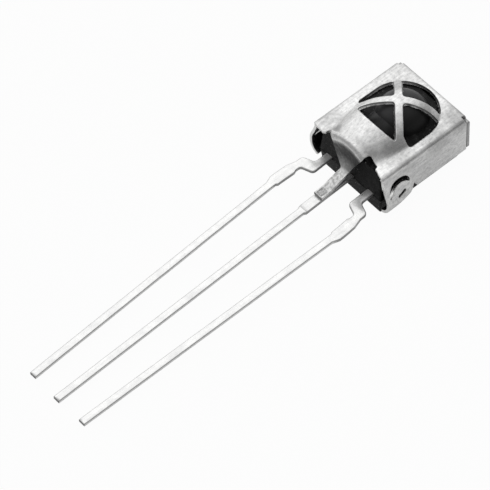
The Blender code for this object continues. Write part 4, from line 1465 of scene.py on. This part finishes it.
@dataclass
class Moulding:
    """The black body with its lens, its nose under the hood and the flash along its parting line."""

    half_width: float = 3.10
    lead_end: float = 0.06
    far_end: float = 7.63
    front: float = 4.14
    draft: float = math.tan(math.radians(5.0))
    edge_rounding: float = 0.14
    rounding_faces: int = 4
    rounding_angle: float = 40.0
    smooth_angle: float = 30.0
    parting: float = 1.61
    flash: float = 0.03
    lens_radius: float = 1.95
    lens_y: float = 4.92
    lens_top: float = 5.82
    nose_radius: float = 1.90
    nose_top: float = 4.88
    nose_start: float = 0.40
    room: float = 0.02
    round_steps: int = 96

    def block(self) -> bmesh.types.BMesh:
        """The moulded block, drafted both ways from its parting line.

        Returns:
            The block.
        """
        low, high = (-self.half_width, self.lead_end, 0.0), (self.half_width, self.far_end, self.front)
        shape = box_shape(low, high)
        self.split(shape, self.parting)
        middle = (self.lead_end + self.far_end) / 2
        for vertex in shape.verts:
            inset = abs(vertex.co.z - self.parting) * self.draft
            vertex.co.x -= math.copysign(inset, vertex.co.x)
            vertex.co.y -= math.copysign(inset, vertex.co.y - middle)
        return shape

    def split(self, shape: bmesh.types.BMesh, height: float) -> None:
        """Cuts level edges round a shape at a height.

        Args:
            shape: The shape, which is changed in place.
            height: Height of the cut.
        """
        everything = [*shape.verts, *shape.edges, *shape.faces]
        bmesh.ops.bisect_plane(
            shape, geom=everything, dist=CUT_TOLERANCE, plane_co=(0, 0, height), plane_no=(0, 0, 1)
        )

    def raise_flash(self, piece: bpy.types.Object) -> None:
        """Draws out the thin, uneven line of flash where the mould's halves met.

        Args:
            piece: The moulded block.
        """
        shape = bmesh.new()
        shape.from_mesh(piece.data)
        for height in (self.parting - self.flash, self.parting, self.parting + self.flash):
            self.split(shape, height)
        middle = (self.lead_end + self.far_end) / 2
        for vertex in shape.verts:
            if abs(vertex.co.z - self.parting) < LEVEL_TOLERANCE:
                away = Vector((vertex.co.x, vertex.co.y - middle, 0.0)).normalized()
                vertex.co += away * self.flash
        shape.to_mesh(piece.data)
        shape.free()

    def lens(self) -> bmesh.types.BMesh:
        """The lens ball.

        Returns:
            The ball.
        """
        shape = bmesh.new()
        steps = self.round_steps
        bmesh.ops.create_uvsphere(
            shape, u_segments=steps, v_segments=steps // 2, radius=self.lens_radius
        )
        centre = (0.0, self.lens_y, self.lens_top - self.lens_radius)
        bmesh.ops.translate(shape, vec=centre, verts=shape.verts)
        return shape

    def nose(self) -> bmesh.types.BMesh:
        """The ridge that runs from the lens to the lead end.

        Returns:
            The ridge.
        """
        shape = bmesh.new()
        depth = self.lens_y - self.nose_start
        radius = self.nose_radius
        bmesh.ops.create_cone(
            shape, cap_ends=True, segments=self.round_steps, radius1=radius, radius2=radius, depth=depth
        )
        bmesh.ops.rotate(shape, matrix=Matrix.Rotation(math.pi / 2, 3, "X"), verts=shape.verts)
        centre = (0.0, self.nose_start + depth / 2, self.nose_top - self.nose_radius)
        bmesh.ops.translate(shape, vec=centre, verts=shape.verts)
        return shape

    def rooms(self) -> list[bmesh.types.BMesh]:
        """Room for the flat roots of the leads and for each piece inside.

        Returns:
            A box for each room.
        """
        lead = MiddleLead()
        outer = OuterLead()
        low = lead.top - lead.thickness - self.room
        high = lead.top + self.room
        spans = [
            (0.0, lead.ground_width, -1.0, lead.paddle_start),
            (0.0, lead.paddle_width, lead.paddle_start, lead.paddle_end),
        ]
        for side in Side:
            middle = side.value * outer.exit_spacing
            spans.append((middle, outer.root_width, -1.0, outer.post_start))
            spans.append((middle, outer.post_width, outer.post_start, outer.post_end))
        boxes = []
        for x, width, start, end in spans:
            half = width / 2 + self.room
            near, far = (x - half, start - self.room, low), (x + half, end + self.room, high)
            boxes.append(box_shape(near, far))
        for node in INNER_NODES:
            corners = [[c / MM for c in corner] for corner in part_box(node)]
            for corner, step in zip(corners, (-self.room, self.room)):
                corner[1] -= MODULE_SHIFT_Y
                corner[:] = [c + step for c in corner]
            boxes.append(box_shape(tuple(corners[0]), tuple(corners[1])))
        return boxes

    def build(self, material: bpy.types.Material) -> bpy.types.Object:
        """Makes the moulded body.

        Args:
            material: Its finish.

        Returns:
            The finished piece.
        """
        piece = mesh_object("moulded_body", self.block())
        bevel_edges(piece, self.edge_rounding, self.rounding_faces, self.rounding_angle)
        apply_modifiers(piece)
        self.raise_flash(piece)
        join_or_cut(piece, self.lens(), "UNION")
        join_or_cut(piece, self.nose(), "UNION")
        for room in self.rooms():
            join_or_cut(piece, room, "DIFFERENCE")
        place_in_row(piece, self.smooth_angle)
        hand_over(piece, material, ["epoxy_body"])
        return piece


INNER_NODES = (
    "photodiode_chip",
    "photodiode_attach",
    "receiver_chip",
    "receiver_attach",
    "wire_photodiode",
    "wire_output",
    "wire_supply",
    "wire_ground",
)


# Finishes


class NodeBench:
    """Places and wires shader nodes in one tree."""

    def __init__(self, tree: bpy.types.NodeTree) -> None:
        """Keeps the tree that the nodes go into."""
        self.tree = tree

    def add(self, kind: str, **settings: object) -> bpy.types.Node:
        """A new node with the given properties.

        Args:
            kind: The node's type.
            settings: Values for its properties.

        Returns:
            The node.
        """
        node = self.tree.nodes.new(kind)
        for name, value in settings.items():
            setattr(node, name, value)
        return node

    def join(self, source: bpy.types.NodeSocket, target: bpy.types.NodeSocket) -> None:
        """Wires one socket to another."""
        self.tree.links.new(source, target)

    def feed(self, target: bpy.types.NodeSocket, value: object) -> None:
        """Wires a socket to the target, or sets a plain value on it.

        Args:
            target: The socket.
            value: A socket or a plain value.
        """
        if isinstance(value, bpy.types.NodeSocket):
            self.join(value, target)
        else:
            target.default_value = value

    def math(self, operation: str, first: object, second: object = 0.0) -> bpy.types.NodeSocket:
        """The result of a Math node.

        Args:
            operation: What the node does.
            first: A socket or a number.
            second: A socket or a number.

        Returns:
            The socket that gives the result.
        """
        node = self.add("ShaderNodeMath", operation=operation)
        self.feed(node.inputs[0], first)
        self.feed(node.inputs[1], second)
        return node.outputs[0]

    def remap(
        self, value: object, low: float, high: float, to_low: object, to_high: object
    ) -> bpy.types.NodeSocket:
        """A value taken from one range to another, held inside it.

        Args:
            value: The socket to read.
            low: Start of the first range.
            high: End of the first range.
            to_low: Start of the second range.
            to_high: End of the second range.

        Returns:
            The socket that gives the result.
        """
        node = self.add("ShaderNodeMapRange")
        for socket, given in zip(node.inputs, (value, low, high, to_low, to_high)):
            self.feed(socket, given)
        return node.outputs[0]

    def blend(self, share: object, first: object, second: object) -> bpy.types.NodeSocket:
        """A colour between two colours.

        Args:
            share: How much of the second colour there is.
            first: A socket or a colour.
            second: A socket or a colour.

        Returns:
            The socket that gives the result.
        """
        node = self.add("ShaderNodeMix", data_type="RGBA", clamp_factor=True)
        colours = [socket for socket in node.inputs if socket.type == "RGBA"]
        self.feed(node.inputs[0], share)
        self.feed(colours[0], first)
        self.feed(colours[1], second)
        return next(socket for socket in node.outputs if socket.type == "RGBA")

    def scaled(self, place: bpy.types.NodeSocket, scale: Sequence[float]) -> bpy.types.NodeSocket:
        """Object coordinates taken to pattern units on each axis.

        Args:
            place: The coordinates.
            scale: Pattern units in a metre on each axis.

        Returns:
            The socket that gives the result.
        """
        node = self.add("ShaderNodeMapping", vector_type="POINT")
        self.join(place, node.inputs["Vector"])
        node.inputs["Scale"].default_value = scale
        return node.outputs["Vector"]

    def millimetres(self) -> bpy.types.NodeSocket:
        """Object coordinates in millimetres."""
        given = self.add("ShaderNodeTexCoord").outputs["Object"]
        return self.scaled(given, (UNITS_PER_METRE,) * 3)

    def split(self, place: bpy.types.NodeSocket) -> bpy.types.bpy_prop_collection:
        """The parts of a vector.

        Args:
            place: The vector.

        Returns:
            The X, Y and Z outputs.
        """
        node = self.add("ShaderNodeSeparateXYZ")
        self.join(place, node.inputs[0])
        return node.outputs

    def bump(self, shader: bpy.types.Node, height: bpy.types.NodeSocket, depth: float) -> None:
        """Gives a shader fine relief.

        Args:
            shader: The shader that the relief goes to.
            height: The relief's height from 0 to 1.
            depth: How high 1 stands, in millimetres.
        """
        node = self.add("ShaderNodeBump")
        node.inputs["Strength"].default_value = 1.0
        node.inputs["Distance"].default_value = depth * MM
        self.join(height, node.inputs["Height"])
        self.join(node.outputs["Normal"], shader.inputs["Normal"])

    def noise(
        self, place: bpy.types.NodeSocket, scale: object, detail: float, rough: float = 0.55
    ) -> bpy.types.NodeSocket:
        """The value of a Noise texture.

        Args:
            place: The coordinates.
            scale: How fine the pattern is.
            detail: How many layers it has.
            rough: How strong the finer layers are.

        Returns:
            The socket that gives the result.
        """
        node = self.add("ShaderNodeTexNoise")
        self.join(place, node.inputs["Vector"])
        self.feed(node.inputs["Scale"], scale)
        node.inputs["Detail"].default_value = detail
        node.inputs["Roughness"].default_value = rough
        return node.outputs["Fac"]


def new_material(name: str) -> tuple[bpy.types.Material, NodeBench, bpy.types.Node]:
    """A new material with its Principled shader.

    Args:
        name: The material's name.

    Returns:
        The material, the bench to fill its tree and the shader.
    """
    material = bpy.data.materials.new(name)
    material.use_nodes = True
    tree = material.node_tree
    return material, NodeBench(tree), tree.nodes["Principled BSDF"]


def new_group(
    name: str, inputs: Sequence[tuple[str, float]], outputs: Sequence[str]
) -> tuple[bpy.types.NodeTree, NodeBench]:
    """An empty node group with float sockets, and the bench to fill it.

    Args:
        name: The group's name.
        inputs: Each input's name and first value.
        outputs: Each output's name.

    Returns:
        The group and its bench.
    """
    group = bpy.data.node_groups.new(name, "ShaderNodeTree")
    for label, value in inputs:
        socket = group.interface.new_socket(label, in_out="INPUT", socket_type="NodeSocketFloat")
        socket.default_value = value
    for label in outputs:
        group.interface.new_socket(label, in_out="OUTPUT", socket_type="NodeSocketFloat")
    return group, NodeBench(group)


def rolled_metal_group() -> bpy.types.NodeTree:
    """Mottle, roll streaks, pits and height of a plated sheet, from Object coordinates.

    Returns:
        The group. Its inputs set how large the mottle is and how long the streaks are.
    """
    group, bench = new_group(
        "rolled_metal",
        [("Mottle Scale", 3.0), ("Streak Across", 9.0), ("Streak Along", 0.8)],
        ["Mottle", "Streaks", "Pits", "Height"],
    )
    given = bench.add("NodeGroupInput")
    result = bench.add("NodeGroupOutput")
    place = bench.millimetres()
    mottle = bench.noise(place, given.outputs["Mottle Scale"], detail=5.0, rough=0.72)
    split = bench.split(place)
    joined = bench.add("ShaderNodeCombineXYZ")
    for axis, label in (("X", "Streak Across"), ("Y", "Streak Along"), ("Z", "Streak Across")):
        bench.join(bench.math("MULTIPLY", split[axis], given.outputs[label]), joined.inputs[axis])
    streaks = bench.noise(joined.outputs[0], 1.0, detail=3.0, rough=0.6)
    fine = bench.noise(place, 14.0, detail=2.0, rough=0.6)
    pits = bench.noise(place, 8.0, detail=2.0, rough=0.5)
    pits = bench.remap(pits, 0.62, 0.72, 0.0, 1.0)
    height = bench.math("ADD", bench.math("MULTIPLY", streaks, 0.5), bench.math("MULTIPLY", fine, 0.5))
    for socket, value in zip(result.inputs, (mottle, streaks, pits, height)):
        bench.join(value, socket)
    return group


@dataclass(frozen=True)
class PlatedMetal:
    """A bright plated metal with mottle, roll streaks and small pits."""

    name: str
    dark: Shade
    bright: Shade
    roughness: Point
    bump_depth: float
    mottle_scale: float
    streak_across: float
    streak_along: float
    metallic: float = 1.0
    grain_range: Point = (0.36, 0.64)
    # Colours of the painted highlight on burrs and edges, the painted shade on cut edges, and of stains and
    # painted shade
    burr_highlight: Shade = (0.98, 0.98, 0.97)
    cut_edge_shade: Shade = (0.05, 0.05, 0.05)
    soot_and_shade: Shade = (0.03, 0.03, 0.03)

    def material(self, group: bpy.types.NodeTree) -> bpy.types.Material:
        """The material, which uses the shared rolled metal group.

        Args:
            group: The rolled metal group.

        Returns:
            The new material.
        """
        material, bench, shader = new_material(self.name)
        shader.inputs["Metallic"].default_value = self.metallic
        grain = bench.add("ShaderNodeGroup", node_tree=group)
        grain.inputs["Mottle Scale"].default_value = self.mottle_scale
        grain.inputs["Streak Across"].default_value = self.streak_across
        grain.inputs["Streak Along"].default_value = self.streak_along
        mottle = bench.math("MULTIPLY", grain.outputs["Mottle"], 0.6)
        streaks = bench.math("MULTIPLY", grain.outputs["Streaks"], 0.4)
        mixed = bench.math("ADD", mottle, streaks)
        pits = bench.math("MULTIPLY", grain.outputs["Pits"], 0.5)
        share = bench.math("SUBTRACT", bench.remap(mixed, *self.grain_range, 0.0, 1.0), pits)
        roll_and_light = bench.add("ShaderNodeAttribute", attribute_name=ROLL_AND_EDGE_LIGHT).outputs["Fac"]
        stain_and_shade = bench.add("ShaderNodeAttribute", attribute_name=STAIN_AND_SHADE).outputs["Fac"]
        colour = bench.blend(share, (*self.dark, 1.0), (*self.bright, 1.0))
        # Painted highlight on the row just inside each cut edge, on the lead-end edges and on the burrs
        rising = bench.remap(roll_and_light, 0.05, 0.30, 0.0, 1.0)
        falling = bench.remap(roll_and_light, 0.54, 0.66, 1.0, 0.0)
        burr = bench.math("MULTIPLY", bench.math("MULTIPLY", rising, falling), 0.8)
        colour = bench.blend(burr, colour, (*self.burr_highlight, 1.0))
        # Painted shade on the other cut edges
        edge_shade_share = bench.remap(roll_and_light, 0.60, 1.0, 0.0, 0.97)
        colour = bench.blend(edge_shade_share, colour, (*self.cut_edge_shade, 1.0))
        # Stains and painted shade from the stain attribute
        colour = bench.blend(stain_and_shade, colour, (*self.soot_and_shade, 1.0))
        bench.join(colour, shader.inputs["Base Color"])
        smooth, coarse = self.roughness
        rough = bench.remap(mixed, *self.grain_range, coarse, smooth)
        bench.join(rough, shader.inputs["Roughness"])
        bench.bump(shader, grain.outputs["Height"], self.bump_depth)
        return material


@dataclass(frozen=True)
class MouldedEpoxy:
    """Black infrared-clear epoxy: smooth on the lens, dull and specked on the block."""

    name: str = "black_epoxy_moulded"
    dark: Shade = (0.001, 0.001, 0.001)
    bright: Shade = (0.020, 0.020, 0.020)
    lens_dark: Shade = (0.020, 0.020, 0.020)
    # The lens's dark colour, and the grey of the painted sheen on its left side
    lens_sheen_grey: Shade = (0.085, 0.085, 0.087)
    speck: Shade = (0.30, 0.30, 0.29)
    lens_roughness: float = 0.30
    block_roughness: float = 0.46
    roughness_spread: float = 0.12
    bump_depth: float = 0.05
    nose_end: float = 3.4
    lens_foot: float = 4.12
    speck_heights: Point = (1.2, 2.6)
    speck_levels: Point = (0.665, 0.71)
    speck_sharpness: float = 25.0
    painted_sheen_span: Point = (-1.2, 1.4)
    gloss: float = 0.11

    def material(self) -> bpy.types.Material:
        """The material.

        Returns:
            The new material.
        """
        material, bench, shader = new_material(self.name)
        shader.inputs["Specular IOR Level"].default_value = self.gloss
        place = bench.millimetres()
        split = bench.split(place)
        mottle = bench.noise(place, 2.2, detail=6.0, rough=0.65)
        lens = bench.remap(split["Z"], self.lens_foot, self.lens_foot + 0.08, 0.0, 1.0)
        low = bench.remap(split["Z"], *self.speck_heights, *self.speck_levels)
        specks = bench.noise(place, 6.5, detail=2.0, rough=0.5)
        specks = bench.math("SUBTRACT", specks, low)
        specks = bench.remap(bench.math("MULTIPLY", specks, self.speck_sharpness), 0.0, 1.0, 0.0, 1.0)
        specks = bench.math("MULTIPLY", specks, bench.math("SUBTRACT", 1.0, lens))
        patches = bench.remap(mottle, 0.50, 0.62, 0.0, 1.0)
        block = bench.blend(patches, (*self.dark, 1.0), (*self.bright, 1.0))
        # Painted sheen: the lens is lighter grey on its left side than on its right
        across = bench.remap(split["X"], *self.painted_sheen_span, 0.0, 1.0)
        # Painted shade: darker towards the nose, under the hood
        nose_end = MODULE_SHIFT_Y + self.nose_end
        nose = bench.remap(split["Y"], nose_end - 0.7, nose_end, 1.0, 0.0)
        glass = bench.blend(across, (*self.lens_sheen_grey, 1.0), (*self.lens_dark, 1.0))
        glass = bench.blend(nose, glass, (*self.lens_dark, 1.0))
        colour = bench.blend(lens, block, glass)
        bench.join(bench.blend(specks, colour, (*self.speck, 1.0)), shader.inputs["Base Color"])
        spread = self.roughness_spread
        smooth, coarse = self.block_roughness - spread, self.block_roughness + spread
        dull = bench.remap(mottle, 0.3, 0.7, smooth, coarse)
        rough = bench.remap(lens, 0.0, 1.0, dull, self.lens_roughness)
        bench.join(rough, shader.inputs["Roughness"])
        depth = bench.remap(lens, 0.0, 1.0, 1.0, 0.10)
        grain = bench.noise(place, 12.0, detail=4.0, rough=0.6)
        grain = bench.math("MULTIPLY", grain, depth)
        bench.bump(shader, grain, self.bump_depth)
        return material


@dataclass(frozen=True)
class InnerFinish:
    """A plain grained finish for a piece that is sealed inside the moulding."""

    name: str
    dark: Shade
    bright: Shade
    roughness: float
    metallic: float
    scale: float

    def material(self) -> bpy.types.Material:
        """The material.

        Returns:
            The new material.
        """
        material, bench, shader = new_material(self.name)
        shader.inputs["Metallic"].default_value = self.metallic
        place = bench.millimetres()
        grain = bench.noise(place, self.scale, detail=4.0)
        colour = bench.blend(grain, (*self.dark, 1.0), (*self.bright, 1.0))
        bench.join(colour, shader.inputs["Base Color"])
        rough = bench.remap(grain, 0.3, 0.7, self.roughness * 0.8, self.roughness * 1.2)
        bench.join(rough, shader.inputs["Roughness"])
        return material


# Studio


@dataclass
class Studio:
    """The pale floor, the soft light and the camera at the photograph's angle."""

    floor_half: float = 0.40
    camera_share: float = 0.96
    mirror_share: float = 0.30
    paint: float = 0.62
    sky: float = 1.0
    gloom: float = 0.25
    window: Place = (-0.80, 0.20, 0.55)
    window_fade: Point = (-0.4, 0.8)
    key_power: float = 0.05
    key_size: float = 0.30
    key_spot: Place = (-0.16, 0.14, 0.30)
    key_target: Place = (0.0, 0.008, 0.0)
    floor_drop: float = 0.00002
    eye: Place = (0.137961, -0.114317, 0.249649)
    right: Place = (0.66064, 0.75036, -0.02266)
    down: Place = (0.59952, -0.54552, -0.58565)
    away: Place = (-0.45181, 0.37332, -0.81025)
    lens_mm: float = 332.64
    sensor_mm: float = 36.0
    clip_start: float = 0.001

    def floor(self) -> bpy.types.Object:
        """A white floor that keeps the object's shadow.

        Returns:
            The floor.
        """
        shape = bmesh.new()
        bmesh.ops.create_grid(shape, x_segments=2, y_segments=2, size=self.floor_half)
        bmesh.ops.translate(shape, vec=(0.0, 0.0, -self.floor_drop), verts=shape.verts)
        floor = mesh_object("studio_floor", shape)
        material = bpy.data.materials.new("studio_floor_white")
        material.use_nodes = True
        bench = NodeBench(material.node_tree)
        material.node_tree.nodes.clear()
        path = bench.add("ShaderNodeLightPath")
        seen = bench.math("MULTIPLY", path.outputs["Is Camera Ray"], self.camera_share)
        glossy, passing = path.outputs["Is Glossy Ray"], path.outputs["Is Transmission Ray"]
        mirrored = bench.math("MAXIMUM", glossy, passing)
        share = bench.math("ADD", seen, bench.math("MULTIPLY", mirrored, self.mirror_share))
        paint = bench.add("ShaderNodeBsdfDiffuse")
        paint.inputs["Color"].default_value = (self.paint, self.paint, self.paint, 1.0)
        glow = bench.add("ShaderNodeEmission")
        mix = bench.add("ShaderNodeMixShader")
        output = bench.add("ShaderNodeOutputMaterial")
        bench.join(share, mix.inputs[0])
        bench.join(paint.outputs[0], mix.inputs[1])
        bench.join(glow.outputs[0], mix.inputs[2])
        bench.join(mix.outputs[0], output.inputs["Surface"])
        floor.data.materials.append(material)
        return floor

    def world(self) -> None:
        """A studio room: bright where its broad soft window is and grey away from it."""
        world = bpy.data.worlds.new("studio_room")
        bpy.context.scene.world = world
        world.use_nodes = True
        bench = NodeBench(world.node_tree)
        background = world.node_tree.nodes["Background"]
        facing = bench.add("ShaderNodeVectorMath", operation="DOT_PRODUCT")
        bench.join(bench.add("ShaderNodeTexCoord").outputs["Generated"], facing.inputs[0])
        facing.inputs[1].default_value = self.window
        level = bench.remap(facing.outputs["Value"], *self.window_fade, self.gloom, self.sky)
        bench.join(level, background.inputs["Color"])

    def lamps(self) -> None:
        """One broad lamp overhead, behind the object as the camera sees it."""
        data = bpy.data.lights.new("key_softbox", "AREA")
        data.shape = "DISK"
        data.size = self.key_size
        data.energy = self.key_power
        lamp = bpy.data.objects.new("key_softbox", data)
        spot = Vector(self.key_spot)
        lamp.location = spot
        lamp.rotation_euler = (Vector(self.key_target) - spot).to_track_quat("-Z", "Y").to_euler()
        bpy.context.scene.collection.objects.link(lamp)

    def camera(self) -> None:
        """The camera where the photograph was taken from."""
        data = bpy.data.cameras.new("photo_camera")
        data.lens = self.lens_mm
        data.sensor_width = self.sensor_mm
        data.clip_start = self.clip_start
        camera = bpy.data.objects.new("photo_camera", data)
        turn = Matrix((Vector(self.right), -Vector(self.down), -Vector(self.away))).transposed()
        camera.matrix_world = Matrix.Translation(self.eye) @ turn.to_4x4()
        bpy.context.scene.collection.objects.link(camera)
        bpy.context.scene.camera = camera

    def build(self) -> None:
        """Sets the stage round the object."""
        self.floor()
        self.world()
        self.lamps()
        self.camera()
        bpy.context.scene.view_settings.view_transform = "Standard"
        LOG.info("studio: floor, room, lamp and camera")


def dress_inner_nodes(materials: dict[Slot, bpy.types.Material]) -> None:
    """Gives each CAD node that stays its finish.

    Args:
        materials: The finish for each slot.
    """
    slots = {"chip": Slot.SILICON, "attach": Slot.PASTE, "wire": Slot.GOLD}
    for name in INNER_NODES:
        word = next(word for word in slots if word in name)
        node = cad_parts[name]
        node.data.materials.clear()
        node.data.materials.append(materials[slots[word]])
        LOG.info("%s: %s", name, slots[word].value)


def main() -> None:
    """Builds the looks in order: finishes, shield, moulding, leads, inner pieces, studio."""
    group = rolled_metal_group()
    sheet_finish = PlatedMetal(
        "tinplate_rolled",
        dark=(0.60, 0.60, 0.60),
        bright=(0.98, 0.98, 0.97),
        roughness=(0.24, 0.42),
        bump_depth=0.020,
        mottle_scale=4.0,
        streak_across=7.0,
        streak_along=1.2,
    )
    lead_finish = PlatedMetal(
        "tin_dipped_lead",
        dark=(0.84, 0.84, 0.84),
        bright=(0.97, 0.97, 0.96),
        roughness=(0.26, 0.40),
        bump_depth=0.006,
        mottle_scale=1.6,
        streak_across=5.0,
        streak_along=0.5,
        metallic=0.75,
    )
    inner_finishes = {
        Slot.SILICON: InnerFinish(
            "silicon_die",
            dark=(0.05, 0.06, 0.09),
            bright=(0.14, 0.15, 0.20),
            roughness=0.20,
            metallic=0.3,
            scale=9.0,
        ),
        Slot.PASTE: InnerFinish(
            "silver_paste_cured",
            dark=(0.40, 0.40, 0.39),
            bright=(0.66, 0.66, 0.65),
            roughness=0.60,
            metallic=0.8,
            scale=30.0,
        ),
        Slot.GOLD: InnerFinish(
            "gold_bond_wire",
            dark=(0.70, 0.46, 0.14),
            bright=(0.90, 0.66, 0.28),
            roughness=0.25,
            metallic=1.0,
            scale=20.0,
        ),
    }
    materials = {slot: finish.material() for slot, finish in inner_finishes.items()}
    lead_material = lead_finish.material(group)
    ShieldCase().build(sheet_finish.material(group))
    Moulding().build(MouldedEpoxy().material())
    OuterLead(length=26.15).build("dipped_lead_output", "lead_output", Side.LEFT, lead_material)
    MiddleLead().build("dipped_lead_ground", "lead_ground", Side.RIGHT, lead_material)
    OuterLead(length=26.18).build("dipped_lead_supply", "lead_supply", Side.RIGHT, lead_material)
    dress_inner_nodes(materials)
    Studio().build()


if __name__ == "__main__":
    main()
